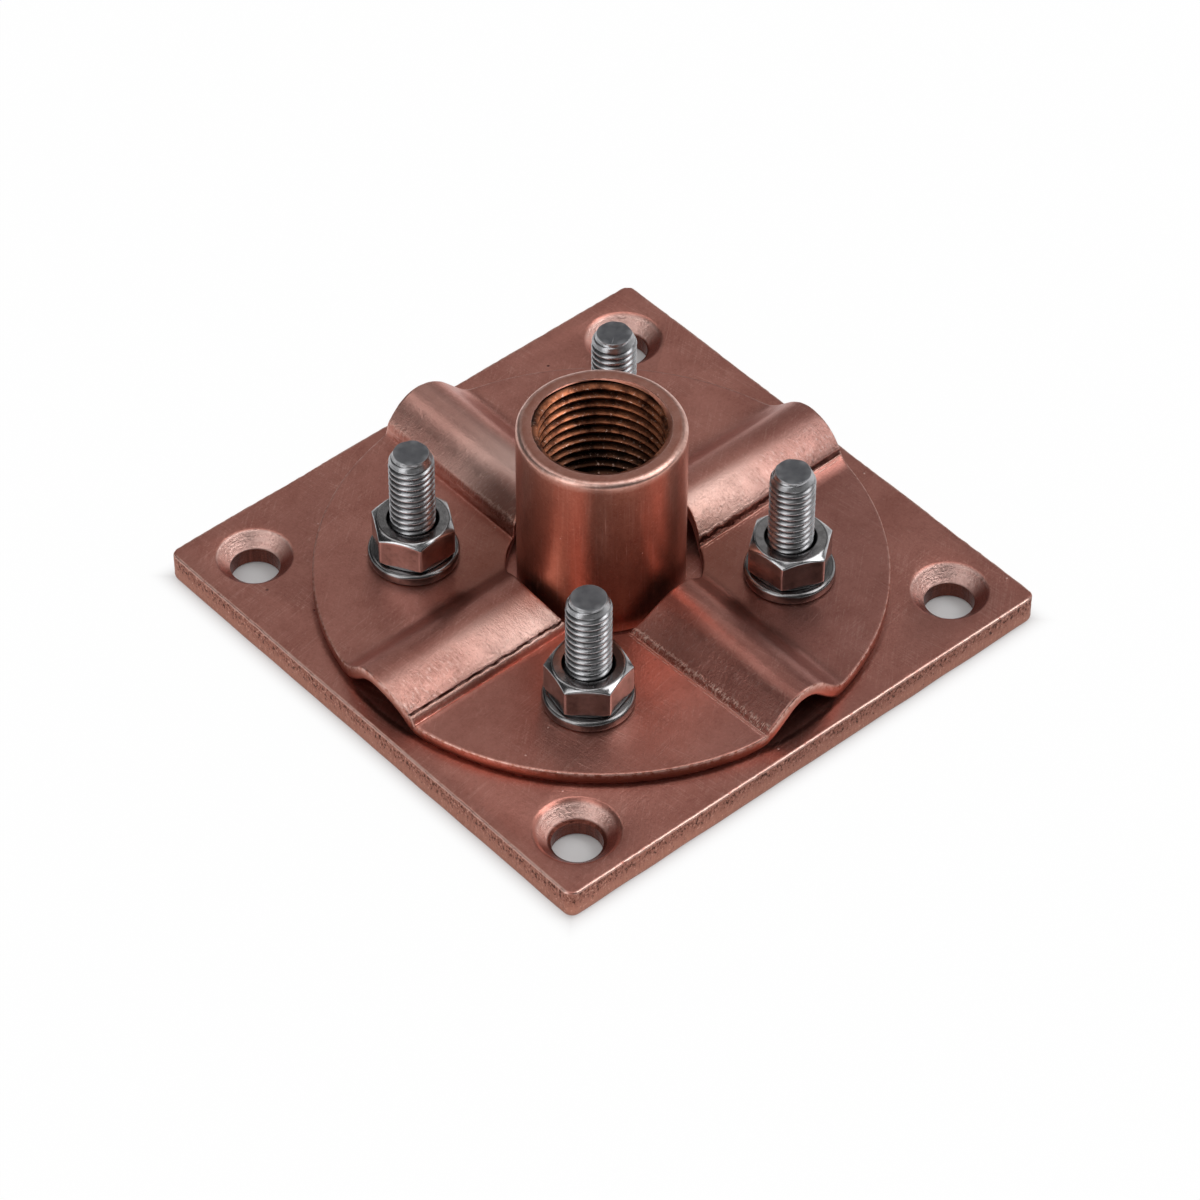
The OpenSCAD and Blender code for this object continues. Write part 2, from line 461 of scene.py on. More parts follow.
@dataclass(frozen=True)
class BossCopper(Copper):
    """The turned sleeve's copper, with a dull threaded bore that painted shade darkens with depth
    and in its thread's roots.

    Attributes:
        top: Level of its top.
    """

    BORE = (0.80, 0.50, 0.36)
    SOOT = (0.40, 0.23, 0.17)
    DEEP = (0.24, 0.19, 0.16)
    GLINT = (0.95, 0.78, 0.70)
    ROOT = (0.09, 0.045, 0.035)
    FACE = (0.66, 0.42, 0.36)
    RIM = (0.95, 0.79, 0.74)

    top: float = 30.8

    def material(self) -> bpy.types.Material:
        """Makes the boss's material: its wall, its rim with a painted highlight, and its threads.
        """
        g, made = self.start()
        # The bore: painted shade grows with depth and fills the thread's roots, and its bright
        # patches are painted glints.
        bore = g.coated(
            g.between(g.patches(g.at, 0.5, 0.40, 0.66, 4.0, 0.65), self.BORE, self.SOOT),
            (g.step(g.z, self.top - 5.0, self.top - 15.0) * 0.8, self.DEEP),
            (g.patches(g.at, 2.2, 0.58, 0.70, 3.0, 0.7), self.GLINT),
            (g.attribute("hollow"), self.ROOT))
        # Painted shade: the flat top of the rim is darkened.
        face = g.step(g.z, self.top - 0.10, self.top - 0.04)
        colour = g.coated(made.colour, (face * 0.5, self.FACE))
        colour = g.tint(g.attribute("inside"), colour, bore)
        chipped = 0.65 + g.patches(g.at, 1.2, 0.40, 0.60, 3.0, 0.65) * 0.35
        # Painted highlight on the rounded rim and the mouth, broken up by patches.
        worn = g.attribute("worn") * chipped
        made.colour = g.coated(colour, (worn, self.RIM))
        made.rough = g.blend(worn, made.rough, 0.30)
        return g.finish(made)


@dataclass(frozen=True)
class PlateCopper(Copper):
    """The plate's copper, with sheared sides and turned countersinks.

    Attributes:
        half: Half of the plate's side.
        corner: Radius of its corners.
        top: Level of its top.
        hole: Distance of a mounting hole's middle from the plate's axes.
        rim: Radius of a countersink's rim.
        grime_ring: Radius of the ring of painted contact shade along the cover's edge.
    """

    SHEAR_DARK = (0.64, 0.42, 0.35)
    SHEAR_LIGHT = (0.82, 0.59, 0.51)
    SHEAR_HIGH = (0.60, 0.36, 0.31)
    SHEAR_PIT = (0.20, 0.10, 0.08)
    SHEAR_LIT = (0.95, 0.76, 0.69)
    CONE_SHADE = (0.62, 0.38, 0.34)
    CONE_DARK = (0.82, 0.57, 0.52)
    CONE_LIGHT = (0.99, 0.88, 0.84)
    WALL_DARK = (0.22, 0.11, 0.09)
    WALL_LIGHT = (0.56, 0.33, 0.28)
    GRIME = (0.30, 0.15, 0.12)
    DUSK = (0.80, 0.80, 0.81)
    EDGE = (0.97, 0.84, 0.79)

    half: float = 40.0
    corner: float = 1.5
    top: float = 4.5
    hole: float = 32.0
    rim: float = 5.25
    grime_ring: float = 37.7

    def material(self) -> bpy.types.Material:
        """Makes the plate's material: its faces, its sheared sides and its holes."""
        g, made = self.start()
        made.cover(g, self.side(g), self.sheared(g))
        reach = g.length(abs(g.x) - self.hole, abs(g.y) - self.hole)
        cone = g.step(reach, self.rim + 0.15, self.rim - 0.35)
        cone = cone * g.step(g.z, self.top, self.top - 0.12)
        made.cover(g, cone, self.countersunk(g, reach))
        # Painted highlight along the plate's top edge, broken up by patches.
        worn = g.attribute("worn") * g.patches(g.at, 1.3, 0.26, 0.46, 3.0, 0.6)
        # Painted contact shade on the plate along the cover's edge, on the front only.
        colour = g.coated(made.colour, (self.grime(g) * 0.75, self.GRIME))
        # Painted shade towards the right corner.
        made.colour = g.coated(self.dusk(g, colour, 0.4, self.DUSK), (worn, self.EDGE))
        made.rough = g.blend(worn, made.rough, 0.32)
        return g.finish(made)

    def side(self, g: MaterialGraph) -> Field:
        """Finds the sheared sides.

        Args:
            g: The material's nodes.

        Returns:
            1 on them and 0 on the faces.
        """
        reach, top = self.half - self.corner, self.top
        beyond = g.length(g.most(abs(g.x) - reach, 0.0), g.most(abs(g.y) - reach, 0.0))
        wall = g.step(beyond, self.corner - 0.42, self.corner - 0.22)
        wall = wall * g.step(g.z, top - 0.10, top - 0.36)
        return g.most(wall, g.step(beyond, 0.2, 0.5) * g.step(g.z, top - 0.2, top - 0.5))

    def sheared(self, g: MaterialGraph) -> Layers:
        """Builds the sides, torn below and smoother at the top, where the blade went in.

        Args:
            g: The material's nodes.

        Returns:
            Their layers.
        """
        level = g.z + (g.noise(g.at, 0.35, 3.0, 0.6) - 0.5) * 1.6
        high = g.step(level, self.top - 3.2, self.top - 1.0)
        torn = g.streaks(g.at, 0.0, (0.42, 0.42, 0.6), 4.0, 0.75)
        rubbed = g.streaks(g.at, 0.0, (0.35, 0.35, 2.2), 4.0, 0.65)
        colour = g.coated(
            g.between(rubbed, self.SHEAR_DARK, self.SHEAR_LIGHT), (high * 0.35, self.SHEAR_HIGH),
            (g.step(torn - high * 0.11, 0.38, 0.29) * 0.85, self.SHEAR_PIT),
            (g.step(torn + high * 0.03, 0.58, 0.68) * 0.6, self.SHEAR_LIT))
        height = (torn - 0.5) * (0.08 + high * 0.26) + (rubbed - 0.5) * 0.04
        return Layers(colour, 0.44 + high * 0.10, height)

    def countersunk(self, g: MaterialGraph, reach: Field) -> Layers:
        """Returns the mounting holes: turned cones, painted lit on their back side and painted
        shaded on their near side, over walls in painted shade.

        Args:
            g: The material's nodes.
            reach: Distance from the nearest hole's middle.

        Returns:
            The layers.
        """
        turned = g.noise(g.vec(reach * 4.2, g.noise(g.at, 0.2) * 2.0, 0.0), 1.0, 3.0, 0.7)
        dents = g.noise(g.at, 1.6, 4.0, 0.7)
        bright = g.between(turned * 0.6 + dents * 0.4, self.CONE_DARK, self.CONE_LIGHT)
        # Painted light and shade: the back side of each cone is bright, the near side shaded.
        cone = g.tint(self.facing(g, reach), linear(self.CONE_SHADE), bright)
        grooves = g.streaks(g.at, 0.0, (0.3, 0.3, 3.0), 3.0, 0.6)
        # Painted shade on the hole's wall below the cone.
        wall = g.between(grooves, self.WALL_DARK, self.WALL_LIGHT)
        colour = g.tint(g.step(g.z, self.top - 1.75, self.top - 2.05), cone, wall)
        return Layers(colour, 0.36, turned * 0.06 + (dents - 0.5) * 0.16)

    def facing(self, g: MaterialGraph, reach: Field) -> Field:
        """Returns 1 on each countersink's back side, where the cone is painted lit."""
        off_x, off_y = (v - g.math("SIGN", v) * self.hole for v in (g.x, g.y))
        return g.step((off_x * 0.44 + off_y * 0.90) / g.most(reach, 0.1), -0.3, 0.45)

    def grime(self, g: MaterialGraph) -> Field:
        """Draws a line of painted contact shade along the cover's edge.

        Args:
            g: The material's nodes.

        Returns:
            1 on it, on the front only.
        """
        around = g.length(g.x, g.y)
        ragged = around + (g.noise(g.at, 0.8, 3.0, 0.6) - 0.5) * 0.5
        front = g.step((g.x * -0.66 + g.y * -0.75) / around, 0.05, 0.6)
        return g.step(abs(ragged - self.grime_ring), 0.60, 0.10) * front


@dataclass(frozen=True)
class CoverCopper(Copper):
    """The cover's copper, grainy where the press stretched it.

    Attributes:
        rim: Radius of the cover.
    """

    PALE = (0.99, 0.83, 0.78)
    STAINED = (0.45, 0.26, 0.22)
    COMB_DARK = (0.60, 0.38, 0.32)
    COMB_LIGHT = (0.99, 0.88, 0.84)
    BESIDE = (0.50, 0.29, 0.22)
    DUSK = (0.80, 0.81, 0.83)
    BURR = (0.97, 0.82, 0.76)
    CRACK = (0.20, 0.10, 0.08)
    CUT_EDGE = (0.70, 0.45, 0.38)
    WORN = (0.96, 0.80, 0.75)

    rim: float = 37.5

    def material(self) -> bpy.types.Material:
        """Makes the cover's material from the masks that the press tree stored on the mesh, painted
        light and shade among them.
        """
        g, made = self.start()
        reach = g.length(g.x, g.y)
        flank = g.attribute("flank")
        combed = self.combed(g)
        patches = 0.65 + g.patches(g.at, 0.42, 0.40, 0.62, 2.0) * 0.35
        grains = g.noise(g.at, 3.0, 3.0, 0.7)
        grainy = ((combed - 0.5) * 0.11 + (grains - 0.5) * 0.08) * patches
        # Painted shade on the left and right sectors next to the boss.
        beside = g.step(g.x * g.y / (reach * reach), -0.05, -0.35) * g.step(reach, 27.0, 14.0)
        colour = g.coated(
            # Painted light on the channel's flank beside the crease.
            made.colour, (g.attribute("pale") * 0.9, self.PALE),
            # Painted shade at the inner end of the flank.
            (g.attribute("stained") * 0.8, self.STAINED),
            (flank * patches * g.step(combed, 0.48, 0.36) * 0.36, self.COMB_DARK),
            (flank * patches * g.step(combed, 0.54, 0.66) * 0.55, self.COMB_LIGHT),
            (beside * 0.55, self.BESIDE))
        crack, burr = self.crease(g, reach, combed)
        # Painted highlight along the top of the cover's cut edge.
        worn = g.attribute("worn") * g.patches(g.at, 1.4, 0.36, 0.58, 3.0, 0.6)
        # Painted shade towards the right corner.
        made.colour = g.coated(
            self.dusk(g, colour, 0.6, self.DUSK), (burr, self.BURR), (crack, self.CRACK),
            (g.step(reach, self.rim - 0.16, self.rim - 0.06) * 0.8, self.CUT_EDGE),
            (worn * 0.8, self.WORN))
        made.height = made.height + grainy * flank + burr * 0.06 - crack * 0.12
        made.rough = g.blend(flank, made.rough, made.rough + 0.03)
        return g.finish(made)

    def combed(self, g: MaterialGraph) -> Field:
        """Returns fine marks, about 0.5, that run across each channel."""
        over_x = g.streaks(g.at, 9.0, (0.32, 1.0, 0.8), 4.0, 0.7)
        over_y = g.streaks(g.at, -14.0, (1.2, 0.30, 0.8), 4.0, 0.7)
        return g.blend(g.step(abs(g.y) - abs(g.x), -0.3, 0.3), over_x, over_y)

    def crease(self, g: MaterialGraph, reach: Field, combed: Field) -> tuple[Field, Field]:
        """Draws the torn line along each channel's crease, in painted shade and painted highlights.

        Args:
            g: The material's nodes.
            reach: Distance from the middle.
            combed: Fine marks across the channel, which break up the burrs.

        Returns:
            The painted shade of the torn line, and the painted highlights on the burrs beside it.
        """
        over = (g.attribute("seam") - 0.5) * SEAM_BAND
        inner = g.step(reach, 32.0, 16.0)
        wander = (g.noise(g.at, 0.7, 4.0, 0.65) - 0.5) * (0.16 + inner * 0.5)
        gape = g.patches(g.at, 0.4, 0.34, 0.56)
        line = g.step(abs(over - 0.06 + wander), 0.16, 0.05)
        # Painted shade in the crease's tear.
        crack = line * (0.75 + gape * 0.25) * g.attribute("crack")
        dots = g.patches(g.at, 1.5, 0.40, 0.60, 3.0, 0.7)
        near_line = g.step(abs(over - 0.34 + wander), 0.13, 0.04) * (0.45 + dots * 0.35)
        far_line = g.step(abs(over - 0.72 + wander * 0.6), 0.10, 0.04) * dots * 0.5
        upper = g.step(abs(over + 0.26 + wander), 0.16, 0.05) * dots * inner
        # Painted highlights: bright lines and dots on the burrs beside the crease.
        burr = g.most(g.most(near_line, far_line), upper * 0.8) * g.attribute("burr")
        whole = g.most(g.attribute("burr") - g.attribute("crack"), 0.0)
        dashes = g.step(abs(over + 0.12 + wander), 0.50, 0.15) * g.step(combed, 0.49, 0.58)
        return crack, g.most(burr, dashes * whole)


@dataclass(frozen=True)
class Steel:
    """Steel of the studs, washers and nuts.

    Attributes:
        name: Name of the material.
        colour: The clean metal.
        grime: What darkens its patches.
        roughness: Mean roughness.
        turned: Depth of the marks round the piece, in millimetres.
    """

    HOLLOW = (0.07, 0.065, 0.065)
    DULL_DARK = (0.34, 0.35, 0.37)
    DULL_LIGHT = (0.55, 0.55, 0.56)
    WORN = (0.93, 0.93, 0.94)

    name: str
    colour: Colour
    grime: Colour
    roughness: float
    turned: float = 0.004

    def material(self) -> bpy.types.Material:
        """Makes the steel: patches of dirt, fine marks, painted shade in its hollows and a painted
        highlight on its edges.
        """
        g = MaterialGraph(self.name)
        clouds = g.noise(g.place, 0.7, 4.0, 0.6)
        fine = g.streaks(g.place, 0.0, (1.6, 1.6, 0.12), 4.0, 0.6)
        dull, worn = g.attribute("dull"), g.attribute("worn")
        # Painted shade in thread roots and in the nut's bore.
        colour = g.coated(g.between(g.step(clouds, 0.40, 0.75) * 0.6, self.colour, self.grime),
                          (g.attribute("hollow"), self.HOLLOW))
        colour = g.tint(dull, colour, g.between(clouds, self.DULL_DARK, self.DULL_LIGHT))
        rough = self.roughness + (clouds - 0.5) * 0.2 + dull * 0.25
        height = (fine - 0.5) * self.turned + (clouds - 0.5) * 0.016
        # Painted highlight on edges and crests.
        colour = g.coated(colour, (worn, self.WORN))
        return g.finish(Layers(colour, g.blend(worn, rough, 0.18), height))


def ripple(turns: np.ndarray, seed: int, lowest: int, highest: int) -> np.ndarray:
    """Smooth noise that closes on itself after one turn.

    Args:
        turns: Where to read it, 1 being a whole turn.
        seed: Seed of its waves.
        lowest: Fewest waves in a turn.
        highest: Most waves in a turn.

    Returns:
        The noise there, with a mean of 0 and a spread of about 1.
    """
    rng = np.random.default_rng(seed)
    total = np.zeros_like(turns, dtype=float)
    for waves in range(lowest, highest + 1):
        total += rng.normal() * np.sin(TURN * (waves * turns + rng.random()))
    return total / math.sqrt((highest - lowest + 1) / 2)


def circle(radius: Any, level: Any, count: int) -> np.ndarray:
    """Returns count points about Z; the radius and the level may differ from point to point."""
    angle = TURN * np.arange(count) / count
    radius = np.broadcast_to(radius, (count,))
    return np.stack([radius * np.cos(angle), radius * np.sin(angle),
                     np.broadcast_to(level, (count,))], axis=1)


def hexagon(half: float, angle: np.ndarray) -> np.ndarray:
    """Returns a hexagon's radius at each angle, from half its width across flats."""
    return half / np.cos(np.mod(angle, math.pi / 3) - math.pi / 6)


class Skin:
    """Collects points and faces of one piece, in millimetres."""

    def __init__(self) -> None:
        """Starts with nothing."""
        self.points: list[np.ndarray] = []
        self.faces: list[tuple[int, ...]] = []
        self.count = 0

    def add(self, points: np.ndarray) -> np.ndarray:
        """Adds points.

        Args:
            points: The points, one row each.

        Returns:
            Their numbers.
        """
        numbers = np.arange(self.count, self.count + len(points))
        self.points.append(points)
        self.count += len(points)
        return numbers

    def bridge(self, a: np.ndarray, b: np.ndarray) -> None:
        """Joins two closed rows of as many points by faces."""
        for i in range(len(a)):
            j = (i + 1) % len(a)
            self.faces.append((int(a[i]), int(a[j]), int(b[j]), int(b[i])))

    def rings(self, rings: Iterable[np.ndarray]) -> list[np.ndarray]:
        """Adds closed rings and bridges each to the next one."""
        rows = [self.add(ring) for ring in rings]
        for a, b in zip(rows, rows[1:]):
            self.bridge(a, b)
        return rows

    def turned(self, profile: Iterable[tuple[Any, Any]], count: int) -> list[np.ndarray]:
        """Adds a turned surface of count points round, from its rings' radii and levels."""
        return self.rings(circle(radius, level, count) for radius, level in profile)

    def fan(self, ring: np.ndarray, level: float) -> None:
        """Closes a ring by triangles to a point on the axis."""
        middle = int(self.add(np.array([(0.0, 0.0, level)]))[0])
        for i in range(len(ring)):
            self.faces.append((int(ring[i]), int(ring[(i + 1) % len(ring)]), middle))

    def cap(self, ring: np.ndarray) -> None:
        """Closes a ring by one face."""
        self.faces.append(tuple(int(v) for v in ring))

    def absorb(self, mesh: bpy.types.Mesh) -> None:
        """Takes in a mesh that is in metres, and removes it."""
        first = int(self.add(points_of(mesh))[0])
        self.faces.extend(tuple(first + v for v in face.vertices) for face in mesh.polygons)
        bpy.data.meshes.remove(mesh)

    def build(self, name: str, move: Vector | None = None, turn: float = 0.0) -> bpy.types.Object:
        """Makes the object, its doubles merged and its faces pointing outwards.

        Args:
            name: Name of the piece.
            move: How far the points move from where they were built.
            turn: How far they turn about Z first, in radians.

        Returns:
            The new object, at the origin.
        """
        points = np.concatenate(self.points)
        c, s = math.cos(turn), math.sin(turn)
        points = points @ np.array([[c, s, 0.0], [-s, c, 0.0], [0.0, 0.0, 1.0]])
        if move is not None:
            points = points + np.array(move)
        mesh = bpy.data.meshes.new(name)
        mesh.from_pydata((points * MM).tolist(), [], self.faces)
        cleaned(mesh)
        return linked(name, mesh)


def points_of(mesh: bpy.types.Mesh) -> np.ndarray:
    """Returns a mesh's points in millimetres, one row each."""
    flat = np.empty(len(mesh.vertices) * 3)
    mesh.vertices.foreach_get("co", flat)
    return flat.reshape(-1, 3) / MM


def linked(name: str, data: Any) -> bpy.types.Object:
    """Makes an object of a mesh, a lamp or a camera, and puts it in the scene."""
    made = bpy.data.objects.new(name, data)
    bpy.context.scene.collection.objects.link(made)
    return made


def cleaned(mesh: bpy.types.Mesh) -> None:
    """Merges a closed mesh's doubles and turns its faces outwards.

    Args:
        mesh: The mesh.
    """
    work = bmesh.new()
    work.from_mesh(mesh)
    bmesh.ops.remove_doubles(work, verts=work.verts, dist=MERGE)
    bmesh.ops.recalc_face_normals(work, faces=work.faces)
    work.to_mesh(mesh)
    work.free()


def settled(made: bpy.types.Object) -> None:
    """Applies an object's modifiers to its mesh.

    Args:
        made: The object.
    """
    bpy.context.view_layer.update()
    shown = made.evaluated_get(bpy.context.evaluated_depsgraph_get())
    old = made.data
    made.data = bpy.data.meshes.new_from_object(shown)
    made.modifiers.clear()
    bpy.data.meshes.remove(old)
    made.data.name = made.name


def carved(made: bpy.types.Object, tools: list[bpy.types.Object]) -> None:
    """Cuts tools out of an object, and removes them."""
    for tool in tools:
        cut = made.modifiers.new("hole", "BOOLEAN")
        cut.operation = "DIFFERENCE"
        cut.solver = "EXACT"
        cut.object = tool
    settled(made)
    for tool in tools:
        bpy.data.objects.remove(tool)


def shaded(made: bpy.types.Object, sharp: float) -> None:
    """Shades a mesh smooth, apart from edges sharper than so many degrees."""
    made.data.shade_smooth()
    made.data.set_sharp_from_angle(angle=math.radians(sharp))


def polar(made: bpy.types.Object,
          middle: Vector = Vector((0.0, 0.0, 0.0))) -> tuple[np.ndarray, np.ndarray]:
    """Returns how far each point of an object is from an upright axis, and its level."""
    at = points_of(made.data) - np.array(middle)
    return np.hypot(at[:, 0], at[:, 1]), at[:, 2]


def marked(made: bpy.types.Object, **masks: np.ndarray) -> None:
    """Stores masks from 0 to 1 at each of the object's points, by their names."""
    for name, values in masks.items():
        layer = made.data.attributes.new(name, "FLOAT", "POINT")
        layer.data.foreach_set("value", np.clip(values, 0, 1).astype(np.float32))


def near(values: np.ndarray, goal: float, width: float) -> np.ndarray:
    """Returns 1 where the values are at the goal, falling to 0 at the width from it."""
    return np.clip(1 - np.abs(values - goal) / width, 0, 1)


def dress(made: bpy.types.Object, material: bpy.types.Material, node: str) -> None:
    """Gives a piece its one material and its body, and hides the node that it replaces.

    Args:
        made: The piece.
        material: Its finish.
        node: The node that it replaces.
    """
    made.data.materials.clear()
    made.data.materials.append(material)
    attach(made, body_of_node(node))
    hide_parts(node)
    LOG.info("%s: %d faces", made.name, len(made.data.polygons))


def body_of_node(node: str) -> str:
    """Returns the body that a node belongs to."""
    bodies = frame["record"]["behaviour"]["bodies"]
    return next(body for body, nodes in bodies.items() if node in nodes)


def mount_sizes(name: str) -> dict[str, float]:
    """Returns the sizes of one of the record's mounts."""
    return next(m for m in frame["record"]["mounts"] if m["name"] == name)["dims"]


def node_box(node: str) -> tuple[Vector, Vector]:
    """Returns a node's lowest and highest corners in millimetres."""
    low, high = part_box(node)
    return low / MM, high / MM


def node_middle(node: str) -> Vector:
    """Returns the middle of a node's box on the plate's underside, in millimetres."""
    low, high = node_box(node)
    return Vector(((low.x + high.x) / 2, (low.y + high.y) / 2, 0.0))


class Tree(Graph):
    """A Geometry Nodes tree with named inputs, which a modifier of the same name runs."""

    def __init__(self, name: str, inputs: dict[str, Any]) -> None:
        """Makes the tree with a geometry and its inputs.

        Args:
            name: Name of the tree.
            inputs: A first value for each input; its type says which socket it gets.
        """
        super().__init__(bpy.data.node_groups.new(name, "GeometryNodeTree"))
        face = self.tree.interface
        face.new_socket("Geometry", in_out="INPUT", socket_type="NodeSocketGeometry")
        face.new_socket("Geometry", in_out="OUTPUT", socket_type="NodeSocketGeometry")
        kinds = {float: "NodeSocketFloat", int: "NodeSocketInt", tuple: "NodeSocketVector"}
        self.keys: dict[str, str] = {}
        for key, value in inputs.items():
            socket = face.new_socket(key, in_out="INPUT", socket_type=kinds[type(value)])
            socket.default_value = value
            self.keys[key] = socket.identifier
        self.source = self.node("NodeGroupInput")
        self.output = self.node("NodeGroupOutput")

    def read(self, key: str) -> Field:
        """Returns one of the tree's inputs."""
        return self.out(self.source, key)

    def geometry(self, kind: str, geometry: Any, values: dict[Any, Any] | None = None,
                 settings: dict[str, Any] | None = None) -> Field:
        """Passes the geometry through one node and returns what comes out."""
        return self.field(kind, settings, {0: geometry, **(values or {})})

    def close(self, geometry: Field, material: bpy.types.Material) -> None:
        """Ends the tree in Realize Instances and Set Material."""
        real = self.geometry("GeometryNodeRealizeInstances", geometry)
        done = self.geometry("GeometryNodeSetMaterial", real, {"Material": material})
        self.join(done, self.output.inputs[0])

    def run(self, made: bpy.types.Object, values: dict[str, Any]) -> None:
        """Runs the tree on an object with its own values, and applies it.

        Args:
            made: The object.
            values: A value for each input.
        """
        modifier = made.modifiers.new(self.tree.name, "NODES")
        modifier.node_group = self.tree
        for key, value in values.items():
            modifier[self.keys[key]] = value
        settled(made)


class Side(Enum):
    """Which side of its surface a thread's metal is on."""

    OUTER = 1.0
    INNER = -1.0


@dataclass(frozen=True)
class Thread:
    """One right-handed thread about Z.

    Attributes:
        crest: Radius at the crests.
        depth: Depth of the thread.
        pitch: Its pitch.
        low: Level of its lower end.
        high: Level of its upper end.
        low_radius: Radius at the lower end.
        high_radius: Radius at the upper end.
        side: Which side the metal is on.
        count: Points round a turn.
        slope: How fast an end's taper widens.
        phase: Share of a pitch by which the thread lies lower.
        roundness: 0 for flat crests, as cut, and 1 for round ones, as rolled.
    """

    crest: float = 3.0
    depth: float = 0.6
    pitch: float = 1.0
    low: float = 0.0
    high: float = 10.0
    low_radius: float = 2.4
    high_radius: float = 2.4
    side: Side = Side.OUTER
    count: int = 96
    slope: float = 1.0
    phase: float = 0.0
    roundness: float = 0.0

    def inputs(self) -> dict[str, Any]:
        """Returns the values that the tree takes for this thread."""
        turns = math.ceil((self.high - self.low) / self.pitch) + 2
        return {**vars(self), "side": self.side.value, "phase": self.phase % 1.0,
                "turns": float(turns)}


class ThreadTree(Tree):
    """Cuts threads: a grid wrapped along the helix, then clipped at its ends.

    Attributes:
        STEPS: Points along one pitch.
        FLAT: Where a cut thread's flank meets its root, 1 being half a pitch from the crest.
        FLANK: How steeply that flank rises.
        ROUND: Power that rounds a rolled thread.
    """

    STEPS = 12.0
    FLAT = 0.83
    FLANK = 1.5
    ROUND = 1.8

    def __init__(self, material: bpy.types.Material) -> None:
        """Builds the tree.

        Args:
            material: What the thread is made of.
        """
        super().__init__("cut_thread", Thread().inputs())
        pitch, low, high, turns, side, slope = (
            self.read(key) for key in ("pitch", "low", "high", "turns", "side", "slope"))
        grid = self.field("GeometryNodeMeshGrid", None, {
            "Size X": 1.0, "Size Y": 1.0, "Vertices X": turns * self.STEPS + 1.0,
            "Vertices Y": self.read("count") + 1.0})
        across, around, _ = self.split(self.field("GeometryNodeInputPosition"))
        along = (across + 0.5) * turns
        turn = around + 0.5
        start = along - 1.0 - self.read("phase")
        level = self.held(low + (start + turn) * pitch, low, high)
        part = abs(self.math("FRACT", along + 0.0001) - 0.5) * 2.0
        rise = self.held((self.FLAT - part) * self.FLANK)
        soft = rise * rise * (3.0 - 2.0 * rise)
        crest = self.blend(self.read("roundness"), (rise + soft) * 0.5,
                           1.0 - self.math("POWER", part, self.ROUND))
        radius = self.read("crest") - side * self.read("depth") * (1.0 - crest)
        top_limit = side * self.read("high_radius") + (high - level) * slope
        low_limit = side * self.read("low_radius") + (level - low) * slope
        radius = side * self.least(side * radius, self.least(top_limit, low_limit))
        angle = turn * TURN
        place = self.vec(radius * self.math("COSINE", angle) * MM,
                         radius * self.math("SINE", angle) * MM, level * MM)
        moved = self.geometry("GeometryNodeSetPosition", grid, {"Position": place})
        merged = self.geometry("GeometryNodeMergeByDistance", moved, {"Distance": MERGE})
        self.close(merged, material)

    def cut(self, thread: Thread) -> bpy.types.Mesh:
        """Makes a thread.

        Args:
            thread: Its sizes.

        Returns:
            A plain mesh, in metres.
        """
        holder = linked("thread", bpy.data.meshes.new("thread"))
        self.run(holder, thread.inputs())
        mesh = holder.data
        bpy.data.objects.remove(holder)
        return mesh


class Corner(Enum):
    """The four corners, as the camera sees them."""

    FRONT = "front"
    RIGHT = "right"
    BACK = "back"
    LEFT = "left"

    def number(self) -> int:
        """Returns its place in the order, from 0."""
        return list(Corner).index(self)

    def signs(self) -> tuple[int, int]:
        """Returns the signs of X and Y there."""
        return ((-1, -1), (1, -1), (1, 1), (-1, 1))[self.number()]

    def stud(self) -> Vector:
        """Returns the middle of its stud, on the plate's underside."""
        return node_middle(f"stud_{self.value}")


